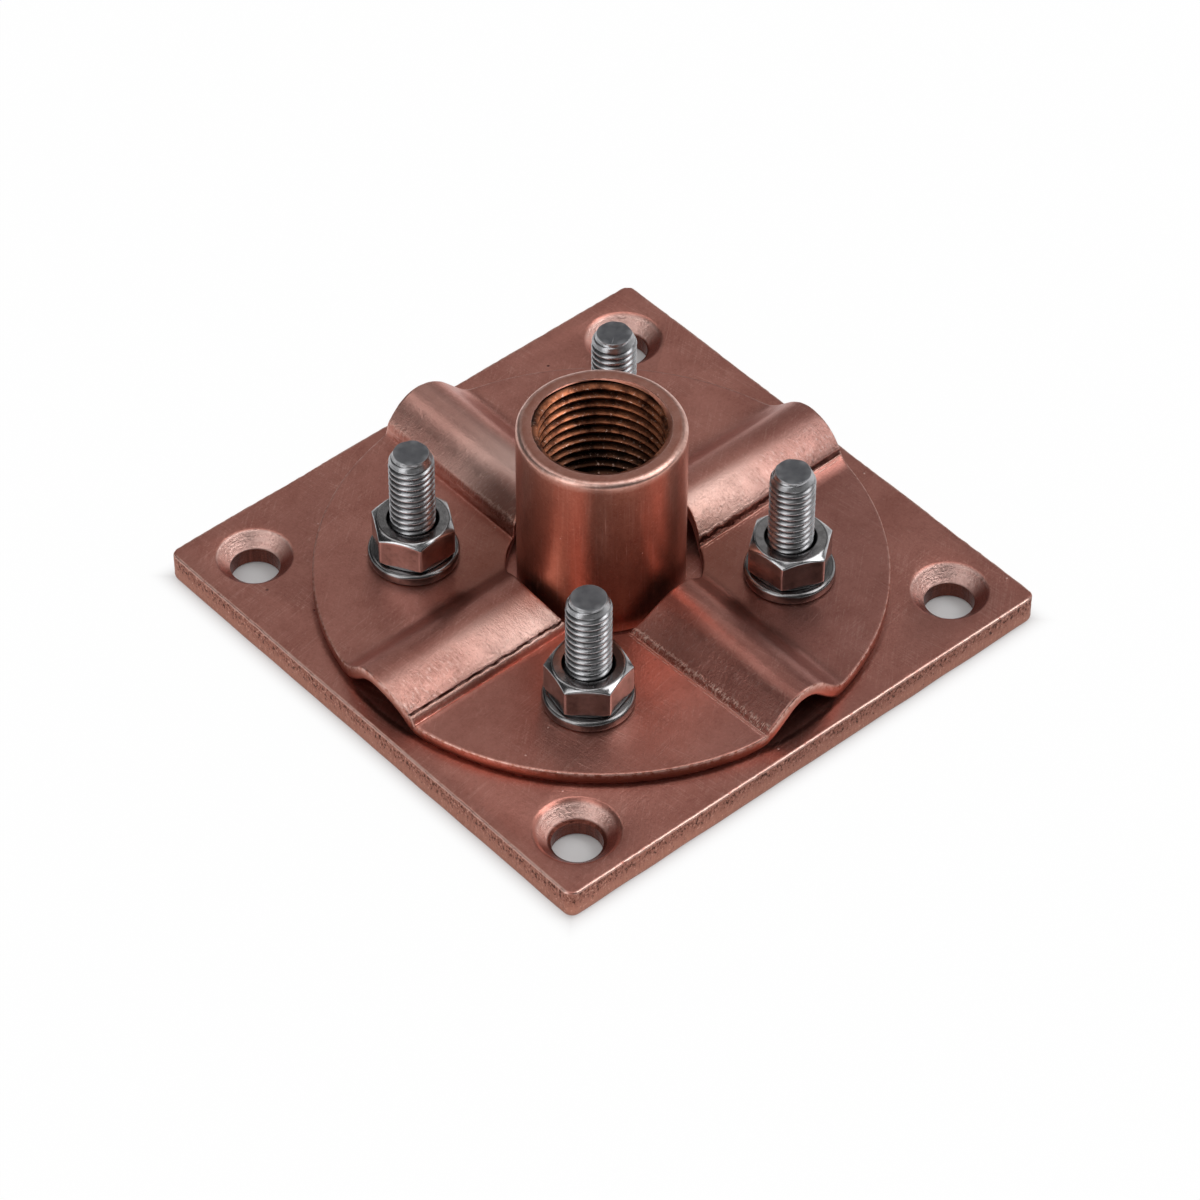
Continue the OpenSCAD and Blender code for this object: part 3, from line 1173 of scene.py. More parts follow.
@dataclass
class Plate:
    """The square base plate, sheared from flat bar.

    Attributes:
        corner: Radius of its corners.
        step: Distance between points along its sides.
        flat: Width of the border that its rings keep on the top face and on the underside.
        stud_countersink: Rim of a stud's countersink on the underside.
        stud_gap: Gap round a stud.
        rims: Radius of the mounting holes' rims, by corner.
    """

    corner: float = 1.5
    step: float = 0.4
    flat: tuple[float, float] = (1.2, 1.3)
    stud_countersink: float = 5.7
    stud_gap: float = 0.05
    rims: tuple[float, ...] = (5.5, 5.1, 5.25, 4.95)

    def __post_init__(self) -> None:
        """Reads the plate's size and holes from the frame."""
        _, high = node_box("base_plate")
        self.half = high.x
        self.top = high.z
        pattern = mount_sizes("plate_holes")
        self.hole = pattern["spacing_x_mm"] / 2
        self.hole_radius = pattern["hole_r_mm"]

    def outline(self, inset: Any, level: Any) -> np.ndarray:
        """Draws the plate's outline, moved inwards, at a level.

        Args:
            inset: How far inwards, one value or one for each point.
            level: Height, one value or one for each point.

        Returns:
            The points, anticlockwise from the lower end of the +X side.
        """
        base, normals = self.path()
        inset = np.broadcast_to(inset, (len(base),))[:, None]
        return np.column_stack([base - normals * inset, np.broadcast_to(level, (len(base),))])

    def path(self) -> tuple[np.ndarray, np.ndarray]:
        """Returns the outline's points in the plane and their outward normals."""
        reach = self.half - self.corner
        count = int(2 * reach / self.step)
        bend = np.radians(np.linspace(0, 90, 10))[1:-1]
        normals = np.vstack([np.tile([1.0, 0.0], (count, 1)),
                             np.column_stack([np.cos(bend), np.sin(bend)])])
        side = np.column_stack([np.full(count, self.half), np.linspace(-reach, reach, count)])
        points = np.vstack([side, reach + self.corner * normals[count:]])
        turns = [np.array([[c, s], [-s, c]]) for c, s in ((1, 0), (0, 1), (-1, 0), (0, -1))]
        return (np.vstack([points @ turn for turn in turns]),
                np.vstack([normals @ turn for turn in turns]))

    def sides(self) -> list[np.ndarray]:
        """Returns the rings from the top face's inner border down to the underside's.

        The blade left a chipped upper edge, a fine tear down the side, and a rolled lower edge.
        """
        total = len(self.path()[0])
        turns = np.arange(total) / total
        chip = 0.018 * ripple(turns, 3, 60, 260) + 0.02 * ripple(turns, 4, 8, 24)
        chip = np.clip(chip, -0.03, 0.09)
        roll = np.clip(0.72 + 0.06 * ripple(turns, 5, 8, 40), 0.5, 0.95)
        tear = ripple(turns, 6, 80, 300)
        rings = [self.outline(inset, self.top) for inset in (self.flat[0], 0.5)]
        for share, drop in ((1.0, 0.0), (0.55, 0.05), (0.2, 0.16), (0.0, 0.34)):
            rings.append(self.outline(share * 0.28 + chip + 0.05, self.top - drop - chip * 0.4))
        for number, level in enumerate(np.linspace(self.top - 0.6, 1.2, 8)):
            depth = 0.03 * math.exp(-((level - self.top + 1.2) / 0.8) ** 2)
            rough = np.roll(tear, 7 * number) * depth
            rings.append(self.outline(np.clip(0.05 + rough, 0.0, 0.2), level))
        for share in (0.12, 0.4, 0.75, 1.0):
            drop = roll * (1 - math.sqrt(1 - share * share))
            rings.append(self.outline(0.03 + drop, (1 - share) * 1.1))
        rings.append(self.outline(self.flat[1], 0.0))
        return rings

    def tool(self, middle: Vector, profile: list[tuple[float, float]]) -> bpy.types.Object:
        """Makes a turned tool that cuts one hole.

        Args:
            middle: Middle of the hole.
            profile: Radius and level of its rings, from below upwards.

        Returns:
            The tool.
        """
        skin = Skin()
        rows = skin.turned(profile, TOOL_COUNT)
        skin.fan(rows[0], profile[0][1])
        skin.fan(rows[-1], profile[-1][1])
        return skin.build("tool", middle)

    def mounting_profile(self, rim: float) -> list[tuple[float, float]]:
        """Returns the tool's profile for a countersunk mounting hole."""
        hole, top = self.hole_radius, self.top
        return [(hole + 0.3, -1.0), (hole + 0.3, 0.0), (hole, 0.25),
                (hole, top - (rim - hole) - 0.1), (hole + 0.15, top - (rim - hole)),
                (rim - 0.35, top - 0.42), (rim - 0.08, top - 0.19), (rim + 0.12, top - 0.06),
                (rim + 0.34, top), (rim + 0.34, top + 1.0)]

    def stud_profile(self) -> list[tuple[float, float]]:
        """Returns the tool's profile for a stud's hole, countersunk from below."""
        wall = Stud.radius + self.stud_gap
        rim = self.stud_countersink
        return [(rim + 1.0, -1.0), (rim, 0.0), (wall, rim - wall), (wall, self.top + 1.0)]

    def build(self, material: bpy.types.Material) -> None:
        """Makes the plate and cuts its holes.

        Args:
            material: Its finish.
        """
        skin = Skin()
        rows = skin.rings(self.sides())
        skin.cap(rows[0])
        skin.cap(rows[-1][::-1])
        plate = skin.build("base_plate_sheared")
        tools = []
        for corner, rim in zip(Corner, self.rims):
            middle = Vector((*corner.signs(), 0.0)) * self.hole
            tools.append(self.tool(middle, self.mounting_profile(rim)))
        tools += [self.tool(corner.stud(), self.stud_profile()) for corner in Corner]
        carved(plate, tools)
        shaded(plate, 28.0)
        at = points_of(plate.data)
        out = np.max(np.abs(at[:, :2]), axis=1)
        # Mask for the painted highlight along the top edge.
        edge = near(out, self.half - 0.14, 0.32) * near(at[:, 2], self.top, 0.34)
        marked(plate, worn=edge)
        dress(plate, material, "base_plate")


@dataclass
class Boss:
    """The turned sleeve with the air rod's thread.

    Attributes:
        major: Radius of the thread's roots.
        pitch: Pitch of the thread.
        count: Points round it.
        lip: Width of the rounding round its top.
        mouth: How far the thread ends below the top.
    """

    major: float = 9.0
    pitch: float = 1.5
    count: int = 176
    lip: float = 0.95
    mouth: float = 0.12

    def build(self, tree: ThreadTree, material: bpy.types.Material) -> None:
        """Makes the sleeve: its thread, its rim with a painted highlight and its wall.

        Args:
            tree: Cuts its thread.
            material: Its finish.
        """
        low, high = node_box("rod_boss")
        bore = mount_sizes("rod_thread")["r_mm"]
        radius, top, foot = high.x, high.z, low.z
        turns = np.arange(self.count) / self.count
        lip = self.lip + 0.03 * ripple(turns, 11, 4, 16)
        burr = np.clip(0.05 * ripple(turns, 12, 10, 60), -0.06, 0.1)
        skin = Skin()
        skin.absorb(tree.cut(Thread(
            bore, self.major - bore, self.pitch, foot, top - self.mouth,
            self.major, self.major, Side.INNER, self.count, slope=2.2)))
        profile = [(self.major, top - self.mouth),
                   (self.major - 0.02 + 0.7 * burr, top - 0.03 + burr * 0.2),
                   (self.major + 0.14, top - 0.01)]
        for share in (0.0, 0.2, 0.4, 0.6, 0.8, 1.0):
            bend = share * math.pi / 2
            profile.append((radius - lip * (1 - math.sin(bend)),
                            top - 0.01 - lip * 0.8 * (1 - math.cos(bend))))
        profile += [(radius, level) for level in np.linspace(top - 1.6, foot + 0.4, 14)]
        skin.turned(profile + [(radius - 0.15, foot), (self.major, foot)], self.count)
        boss = skin.build("rod_boss_turned")
        shaded(boss, 40.0)
        reach, level = polar(boss)
        # Masks for the painted highlight on the rounded rim and on the mouth's edge.
        rim = near(reach, radius - 0.35, 0.7) * near(level, top - 0.2, 1.0) * 1.3
        mouth = near(reach, self.major + 0.03, 0.16) * near(level, top, 0.25) * 0.8
        # Painted shade in the bore, darker towards the thread's roots.
        inside = (reach < self.major + 0.02) & (level < top - 0.35)
        marked(boss, worn=np.maximum(rim, mouth), inside=inside,
               hollow=inside * (reach - bore) / (self.major - bore))
        dress(boss, material, "rod_boss")


@dataclass
class Stud:
    """A countersunk screw, put in from below.

    Attributes:
        radius: Radius of its thread's crests.
        head: Radius of its head.
        root: Depth of its thread.
        pitch: Pitch of its thread.
        socket: Half the width across flats of its hexagon socket.
        depth: Depth of the socket.
        tip: Radius of its flat end.
        taper: How fast the end widens below it.
        end: How far its thread ends below its top.
        thread_low: Level at which its thread starts.
        count: Points round it.
    """

    radius: float = 3.0
    head: float = 5.65
    root: float = 0.61
    pitch: float = 1.0
    socket: float = 2.0
    depth: float = 2.0
    tip: float = 2.34
    taper: float = 0.52
    end: float = 0.22
    thread_low: float = 3.4
    count: int = 96

    def build(self, corner: Corner, tree: ThreadTree, material: bpy.types.Material) -> None:
        """Makes one stud with its thread, its end and its head, with painted highlights on the
        thread's crests and the end's rim.

        Args:
            corner: Which stud.
            tree: Cuts its thread.
            material: Its steel.
        """
        node = f"stud_{corner.value}"
        top = node_box(node)[1].z
        turns = np.arange(self.count) / self.count
        chipped = 0.03 * ripple(turns, 30 + corner.number(), 2, 9)
        socket = hexagon(self.socket, TURN * turns)
        skin = Skin()
        skin.absorb(tree.cut(Thread(
            self.radius, self.root, self.pitch, self.thread_low, top - self.end,
            self.radius - self.root, self.tip, Side.OUTER, self.count, self.taper,
            roundness=1.0)))
        end = skin.turned([
            (self.tip, top - self.end), (self.tip - 0.01 + chipped * 0.4, top - 0.11),
            (self.tip - 0.06 + chipped, top - 0.03), (self.tip - 0.16 + chipped, top - 0.02),
            (self.tip * 0.62, top - 0.05 + chipped * 0.5), (self.tip * 0.3, top - 0.06)],
            self.count)
        skin.fan(end[-1], top - 0.06)
        below = skin.turned([
            (self.radius - self.root, self.thread_low),
            (self.radius - 0.02, self.thread_low - 0.45),
            (self.radius - 0.02, self.head - self.radius), (self.head - 0.12, 0.12),
            (self.head - 0.16, 0.02), (self.head - 0.35, 0.0), (socket + 0.12, 0.0),
            (socket, 0.12), (socket, self.depth)], self.count)
        skin.fan(below[-1], self.depth + 0.5)
        stud = skin.build(f"{node}_threaded", corner.stud())
        shaded(stud, 38.0)
        reach, level = polar(stud, corner.stud())
        # Painted shade in the thread's roots, darker towards each root.
        threaded = (level > self.thread_low) & (level < top - 1.0)
        groove = 0.85 * (self.radius - reach) / self.root - 0.10
        # Painted highlights on the thread's crests and on the end's rim.
        rim = near(reach, self.tip - 0.08, 0.1) * (level > top - 0.15) * 0.3
        marked(stud, hollow=np.where(threaded, groove, 0.0), dull=level > top - 0.09,
               worn=near(reach, self.radius, 0.08) * threaded * 0.2 + rim)
        dress(stud, material, node)


@dataclass
class Washer:
    """A flat washer, rounded by the punch.

    Attributes:
        gap: Gap round the stud.
        rounding: Radius of its top outer edge.
        count: Points round it.
    """

    gap: float = 0.2
    rounding: float = 0.55
    count: int = 96

    def build(self, corner: Corner, material: bpy.types.Material) -> None:
        """Makes one washer.

        Args:
            corner: Which washer.
            material: Its steel.
        """
        node = f"washer_{corner.value}"
        low, high = node_box(node)
        foot, top = low.z, high.z
        outer = (high.x - low.x) / 2
        inner = Stud.radius + self.gap
        profile = [(inner, foot + 0.15), (inner, top - 0.2), (inner + 0.06, top - 0.06),
                   (inner + 0.2, top)]
        for bend in np.radians(np.linspace(0, 90, 6)):
            profile.append((outer - self.rounding * (1 - math.sin(bend)),
                            top - self.rounding * (1 - math.cos(bend))))
        profile += [(outer, foot + 0.3), (outer - 0.06, foot + 0.1), (outer - 0.2, foot),
                    (inner + 0.15, foot), (inner, foot + 0.15)]
        skin = Skin()
        skin.turned(profile, self.count)
        washer = skin.build(f"{node}_punched", node_middle(node))
        shaded(washer, 50.0)
        reach, level = polar(washer, node_middle(node))
        # Painted highlight on the washer's rounded top edge.
        marked(washer, worn=near(reach, outer - 0.15, 0.15) * near(level, top - 0.14, 0.2) * 0.4)
        dress(washer, material, node)


@dataclass
class Nut:
    """A hexagon nut with bevelled corners.

    Attributes:
        across: Half the width across flats.
        face: Radius of its flat ring.
        bevel: Slope of its bevels, in degrees.
        root: Radius of its thread's roots.
        crest: Radius of its thread's crests.
        mouth: Radius of its bore's mouths.
        count: Points round it.
        edge: Width of the rounding on its edges.
        turns: How far each nut is turned about its stud, in degrees.
    """

    across: float = 5.0
    face: float = 4.68
    bevel: float = 30.0
    root: float = 3.08
    crest: float = 2.62
    mouth: float = 3.42
    count: int = 96
    edge: float = 0.14
    turns: tuple[float, ...] = (17.0, 37.0, 50.0, 0.0)

    def build(self, corner: Corner, tree: ThreadTree, material: bpy.types.Material) -> None:
        """Makes one nut: its hexagon and bevels, and the thread inside it.

        Args:
            corner: Which nut.
            tree: Cuts its thread.
            material: Its steel.
        """
        node = f"nut_{corner.value}"
        low, high = node_box(node)
        turn = math.radians(self.turns[corner.number()])
        skin = Skin()
        skin.absorb(self.shell(low.z, high.z))
        phase = (low.z - Stud.thread_low) / Stud.pitch - turn / TURN - 0.5
        skin.absorb(tree.cut(Thread(
            self.crest, self.root - self.crest, Stud.pitch, low.z, high.z,
            self.mouth, self.mouth, Side.INNER, self.count, phase=phase)))
        nut = skin.build(f"{node}_formed", node_middle(node), turn)
        shaded(nut, 32.0)
        reach, level = polar(nut, node_middle(node))
        # Painted highlights on the bevelled edges at top and bottom, and on the upright corners.
        outer = np.clip((reach - self.face - 0.05) / 0.25, 0, 1)
        upper = np.clip(1 - np.minimum(high.z - level, level - low.z) / 0.75, 0, 1)
        upright = near(reach, self.across / math.cos(math.pi / 6), 0.16) * 0.6
        # The nut's whole bore gets painted shade.
        marked(nut, hollow=reach < self.mouth + 0.02, worn=np.maximum(outer * upper, upright))
        dress(nut, material, node)

    def shell(self, foot: float, top: float) -> bpy.types.Mesh:
        """Makes the nut without its bore.

        Args:
            foot: Level of its underside.
            top: Level of its top.

        Returns:
            The mesh, its edges rounded.
        """
        sides = hexagon(self.across, TURN * np.arange(self.count) / self.count)
        drop = (sides - self.face) * math.tan(math.radians(self.bevel))
        skin = Skin()
        skin.turned([
            (self.mouth, top), (self.mouth + 0.12, top), (self.face - 0.25, top),
            (self.face, top), (sides, top - drop), (sides, top - drop - 0.45),
            (sides, foot + drop + 0.45), (sides, foot + drop), (self.face, foot),
            (self.face - 0.25, foot), (self.mouth, foot)], self.count)
        body = skin.build("shell")
        bevel = body.modifiers.new("edges", "BEVEL")
        bevel.width = self.edge * MM
        bevel.segments = 3
        bevel.angle_limit = math.radians(20)
        settled(body)
        return body.data


@dataclass(frozen=True)
class Arm:
    """One channel pressed into the cover, measured across it in millimetres.

    Distances across the channel count from the plate's axis, towards the crease.

    Attributes:
        out: Direction in which it runs from the middle.
        near: Direction across it, towards its sharp crease.
        crest: Where its crest lies.
        height: Height of its crest over the plate.
        near_radius: Radius of its roof on the crease's side.
        near_slope: Slope, in degrees, at which that side goes on straight.
        far_radius: Radius on the other side.
        far_slope: Slope on the other side.
        crease: Where the crease lies at the opening.
        drift: How much further out the crease lies at the rim.
        lift: Rise of the sheet's flat beside the crease.
        lift_width: Width over which the rise fades.
        crack: How open the crease's tear is and how dark its painted shade, from 0 to 1.
        burr: How much its edges stand up and how bright their painted highlights are, from 0 to 1.
        grain: How coarse the side next to the crease is, from 0 to 1.
        pale: How bright the painted light on that side is, from 0 to 1.
        pale_from: Where that painted light starts, counted from the crest.
        stain: How dark the painted shade on that side's inner end is, from 0 to 1.
        stain_reach: Share of the way from the opening to the rim at which that painted shade ends.
    """

    out: Triple
    near: Triple
    crest: float
    height: float
    near_radius: float
    near_slope: float
    far_radius: float
    far_slope: float
    crease: float
    drift: float
    lift: float
    lift_width: float
    crack: float = 1.0
    burr: float = 0.8
    grain: float = 1.0
    pale: float = 1.0
    pale_from: float = 1.2
    stain: float = 0.0
    stain_reach: float = 0.4

    def inputs(self, seed: float) -> dict[str, Any]:
        """Returns the values that the tree takes; the seed makes its crack and lumps its own."""
        slopes = {key: math.radians(vars(self)[key]) for key in ("near_slope", "far_slope")}
        return {**vars(self), **slopes, "seed": seed}


class PressTree(Tree):
    """Presses one channel into the flat sheet, the sheet's upper and lower skins apart.

    Attributes:
        STEEP: How fast the upper skin falls beyond the crease.
        NOTCH: Depth of the torn notch along the crease.
        LIP: Height of the raised lip beside it.
        LUMPS: Height of the coarse side's grain.
    """

    STEEP = 2.6
    NOTCH = 0.20
    LIP = 0.05
    LUMPS = 0.20

    def __init__(self, material: bpy.types.Material, arm: Arm, sheet: float, inner: float,
                 outer: float) -> None:
        """Builds the tree.

        Args:
            material: The cover's copper.
            arm: A channel, for the inputs' first values.
            sheet: Thickness of the sheet.
            inner: Radius of the cover's opening.
            outer: Radius of its rim.
        """
        super().__init__("press_channel", arm.inputs(0.0))
        place = self.scaled(self.field("GeometryNodeInputPosition"), 1 / MM)
        x, y, _ = self.split(place)
        run = self.step(self.dot(place, self.read("out")), 3.0, 8.0)
        across = self.dot(place, self.read("near"))
        share = (self.length(x, y) - inner) / (outer - inner)
        over = across - self.read("crease") - self.read("drift") * share
        crest, height = self.read("crest"), self.read("height")
        near_side = self.most(across - crest, 0.0)
        far_side = self.most(crest - across, 0.0)
        seeded = self.vector("ADD", place, self.vec(self.read("seed"), 0.0, 0.0))

        fade = self.held(1.0 - over / self.read("lift_width"))
        lift = self.read("lift") * fade * fade * self.step(share, 0.25, 0.95)
        lift = lift * self.step(over, -3.0, -1.0)
        upper = height - self.drops(near_side, far_side, 0.0) - self.most(over, 0.0) * self.STEEP
        soft = self.blend(self.step(across - crest, -1.0, 1.0), 2.0, 0.12)
        top = self.math("SMOOTH_MAX", lift + sheet, upper, soft)
        lower = height - sheet - self.drops(near_side, far_side, sheet)
        bottom = self.math("SMOOTH_MAX", lift * 0.7, lower, 2.0)

        flank = self.step(near_side, 1.2, 3.2) * self.step(over, 0.15, -0.15) * self.read("grain")
        gape = self.patches(seeded, 0.25, 0.36, 0.60, 1.0)
        notch = self.step(abs(over - 0.08), 0.30, 0.05) * (0.5 + gape * 0.5)
        lip = self.step(abs(over - 0.42), 0.30, 0.06)
        lumps = (self.noise(seeded, 0.5, 2.0) - 0.5) * self.LUMPS
        top = top - notch * self.read("crack") * self.NOTCH
        top = top + lip * self.read("burr") * self.LIP + lumps * flank
        skin = self.named("skin")
        rise = self.blend(skin, bottom, top - sheet) * run
        moved = self.geometry("GeometryNodeSetPosition", self.read("Geometry"),
                              {"Offset": self.vec(0.0, 0.0, rise * MM)})

        beside = self.step(over, 0.15, -0.15)
        # Painted light on the flank beside the crease, strongest at the inner end.
        pale = self.step(across - crest - self.read("pale_from"), -1.0, 1.0)
        pale = pale * beside * self.read("pale") * (0.32 + self.step(share, 0.75, 0.1) * 0.68)
        # Painted shade on the flank's inner end.
        stained = self.step(near_side, 0.5, 2.5) * beside * self.read("stain")
        stained = stained * self.step(share - self.read("stain_reach"), 0.0, -0.33)
        seam = self.held(over / SEAM_BAND + 0.5) * self.step(over, -1.6, -1.5)
        band = self.step(abs(over), 1.5, 1.2)
        masks = {"flank": flank, "pale": pale, "stained": stained, "seam": seam,
                 "crack": band * self.read("crack"), "burr": band * self.read("burr")}
        visible = self.step(skin, 0.4, 0.6) * run
        for name, mask in masks.items():
            moved = self.keep(moved, name, mask * visible)
        self.close(moved, material)

    def drops(self, near_side: Field, far_side: Field, inset: float) -> Field:
        """Bends the roof: an arc on each side of its crest, and then a straight slope.

        Args:
            near_side: Distance from the crest on the crease's side, 0 on the other.
            far_side: Distance on the other side.
            inset: How far inside the outer skin the surface lies.

        Returns:
            How far it lies below its crest.
        """
        total: Any = 0.0
        for name, side in (("near", near_side), ("far", far_side)):
            slope = self.read(f"{name}_slope")
            radius = self.read(f"{name}_radius") - inset
            bend = radius * self.math("SINE", slope)
            inner = self.least(side, bend)
            roof = radius - self.math("SQRT", radius * radius - inner * inner)
            total = roof + self.most(side - bend, 0.0) * self.math("TANGENT", slope) + total
        return total

    def named(self, name: str) -> Field:
        """Returns a number that the mesh holds at each point."""
        settings = {"data_type": "FLOAT"}
        return self.field("GeometryNodeInputNamedAttribute", settings, {"Name": name})

    def keep(self, geometry: Field, name: str, mask: Field) -> Field:
        """Stores a mask on the mesh's points, with what earlier channels left there."""
        values = {"Name": name, "Value": self.most(self.named(name), mask)}
        settings = {"data_type": "FLOAT", "domain": "POINT"}
        return self.geometry("GeometryNodeStoreNamedAttribute", geometry, values, settings)


@dataclass
class Cover:
    """The round cover, pressed from sheet.

    Attributes:
        sheet: Thickness of the sheet.
        gap: Gap between the boss and the opening.
        strip: Half the width that each channel's own columns of points cover.
        ring_step: Distance between rings.
        near_columns: Columns from the strip's edge to the crease's own.
        offsets: Columns about a crease, counted outwards from it.
        far_columns: Columns from the crease across to the far side.
        sector_columns: Columns between two channels.
        opening_shift: How far off the middle the opening is.
        opening_turn: Towards where, in degrees.
        opening_fade: Width over which the rings become round again.
        stud_gap: Gap round a stud.
        arms: The channels, anticlockwise from +X.
    """

    sheet: float = 1.8
    gap: float = 1.75
    strip: float = 8.6
    ring_step: float = 0.36
    near_columns: int = 5
    offsets: tuple[float, ...] = (2.2, 1.6, 1.1, 0.75, 0.55, 0.42, 0.32, 0.22, 0.12, 0.04,
                                  -0.06, -0.18, -0.32, -0.5, -0.8)
    far_columns: int = 30
    sector_columns: int = 54
    opening_shift: float = 0.4
    opening_turn: float = -45.0
    opening_fade: float = 3.5
    stud_gap: float = 0.3
    arms: tuple[Arm, ...] = (
        Arm((1, 0, 0), (0, -1, 0), -0.6, 6.07, 8.2, 48.0, 5.5, 42.0, 5.9, -0.3, 1.05, 2.6,
            crack=0.9, grain=0.9, pale=0.9),
        Arm((0, 1, 0), (-1, 0, 0), -0.4, 6.68, 6.2, 45.0, 6.2, 45.0, 5.08, 0.0, 0.3, 3.0,
            crack=0.12, burr=0.4, grain=0.55, pale_from=-2.0, stain=0.9, stain_reach=0.45),
        Arm((-1, 0, 0), (0, -1, 0), -1.0, 5.5, 10.0, 50.0, 5.5, 42.0, 6.0, 0.2, 0.12, 2.0),
        Arm((0, -1, 0), (-1, 0, 0), -1.4, 6.6, 5.0, 45.0, 5.0, 45.0, 5.2, -0.7, 0.4, 5.0,
            crack=0.12, burr=1.0, grain=0.3, pale=0.0, stain=0.3, stain_reach=1.5))

    def __post_init__(self) -> None:
        """Reads the cover's radius and level from the frame."""
        low, high = node_box("clamp_cover")
        self.base = low.z
        self.rim = high.x
        self.inner = node_box("rod_boss")[1].x + self.gap
        self.columns_of_arm = self.near_columns + len(self.offsets) + self.far_columns

    def angles(self, reach: np.ndarray) -> np.ndarray:
        """Spaces the points of one ring, closely about the creases.

        Args:
            reach: Distance of each point from the middle.

        Returns:
            Their angles, anticlockwise.
        """
        parts, start = [], 0
        for number, arm in enumerate(self.arms):
            side = 1 if arm.out[0] * arm.near[1] - arm.out[1] * arm.near[0] > 0 else -1
            own = reach[start:start + self.columns_of_arm]
            across = self.columns(arm, own[::-side])[::-side]
            parts.append(side * np.arcsin(across / own) + number * math.pi / 2)
            start += self.columns_of_arm + self.sector_columns
        whole = []
        for part, following in zip(parts, parts[1:] + [parts[0] + TURN]):
            between = np.linspace(part[-1], following[0], self.sector_columns + 2)[1:-1]
            whole += [part, between]
        return np.concatenate(whole)

    def columns(self, arm: Arm, reach: np.ndarray) -> np.ndarray:
        """Places one channel's columns of points across it.

        Args:
            arm: The channel.
            reach: Distance of each column from the middle.

        Returns:
            Where each lies, from the crease's side over.
        """
        share = (reach - self.inner) / (self.rim - self.inner)
        crease = arm.crease + arm.drift * share
        first, last = self.near_columns, self.near_columns + len(self.offsets)
        steps = np.arange(first) / first
        outside = self.strip + (crease[:first] + self.offsets[0] - self.strip) * steps
        low = crease[last:] + self.offsets[-1]
        steps = np.arange(1, self.far_columns + 1) / self.far_columns
        inside = low + (-self.strip - low) * steps
        return np.concatenate([outside, crease[first:last] + self.offsets, inside])

    def ring(self, radius: float, share: float) -> np.ndarray:
        """Lays one ring of the flat sheet.

        Args:
            radius: Its radius.
            share: 0 on the sheet's underside, 1 on its top.

        Returns:
            Its points.
        """
        total = len(self.arms) * (self.columns_of_arm + self.sector_columns)
        reach = np.full(total, radius)
        fade = (self.inner + self.opening_fade - radius) / self.opening_fade
        shift = self.opening_shift * min(max(fade, 0.0), 1.0)
        turns = np.arange(total) / total
        # Angle and distance of a point depend on each other, and settle in a few rounds
        for _ in range(4):
            angles = self.angles(reach)
            reach = radius + shift * np.cos(angles - math.radians(self.opening_turn))
        chips = 0.02 * ripple(turns, 21, 30, 160) if radius > self.rim - 0.3 else 0.0
        reach = np.minimum(reach - np.clip(chips, 0.0, 0.1), self.rim)
        level = np.full(total, self.base + share * self.sheet)
        return np.column_stack([reach * np.cos(angles), reach * np.sin(angles), level])

    def rings(self) -> list[np.ndarray]:
        """Returns the sheet's rings: over its top, round its rim and back below."""
        inner, rim = self.inner, self.rim
        reaches = np.linspace(inner + 0.4, rim - 0.4, int((rim - inner - 0.8) / self.ring_step))
        rows = [(inner, 0.15), (inner, 0.85), (inner + 0.05, 0.96), (inner + 0.15, 1.0)]
        rows += [(reach, 1.0) for reach in reaches]
        rows += [(rim - 0.16, 1.0), (rim - 0.06, 0.97), (rim, 0.88), (rim, 0.5), (rim, 0.28),
                 (rim - 0.05, 0.16), (rim - 0.16, 0.06), (rim - 0.34, 0.0)]
        rows += [(reach, 0.0) for reach in reaches[::-1]]
        rows += [(inner + 0.15, 0.0), (inner + 0.05, 0.04)]
        return [self.ring(radius, share) for radius, share in rows]

    def drill(self) -> bpy.types.Object:
        """Makes the tool that cuts the four stud holes."""
        tool = Skin()
        radius = Stud.radius + self.stud_gap
        for corner in Corner:
            middle = np.array(corner.stud())
            a, b = (tool.add(circle(radius, self.base + level, TOOL_COUNT) + middle)
                    for level in (-1.0, self.sheet + 1.0))
            tool.bridge(a, b)
            tool.cap(a[::-1])
            tool.cap(b)
        return tool.build("drill")

    def build(self, material: bpy.types.Material) -> None:
        """Makes the cover: a flat sheet, its four channels and its stud holes.

        Args:
            material: Its finish.
        """
        skin = Skin()
        rows = skin.rings(self.rings())
        skin.bridge(rows[-1], rows[0])
        cover = skin.build("clamp_cover_pressed")
        _, level = polar(cover)
        marked(cover, skin=(level - self.base) / self.sheet)
        tree = PressTree(material, self.arms[0], self.sheet, self.inner, self.rim)
        for number, arm in enumerate(self.arms):
            tree.run(cover, arm.inputs(31.0 * number))
        carved(cover, [self.drill()])
        shaded(cover, 42.0)
        reach, _ = polar(cover)
        # Painted highlight along the rim's upper edge.
        marked(cover, worn=near(reach, self.rim - 0.05, 0.15) * self.upper(cover))
        dress(cover, material, "clamp_cover")

    def upper(self, cover: bpy.types.Object) -> np.ndarray:
        """Returns how near each point is to the sheet's upper skin, from 0 to 1."""
        values = np.empty(len(cover.data.vertices), dtype=np.float32)
        cover.data.attributes["skin"].data.foreach_get("value", values)
        return np.clip((values - 0.6) / 0.3, 0, 1)


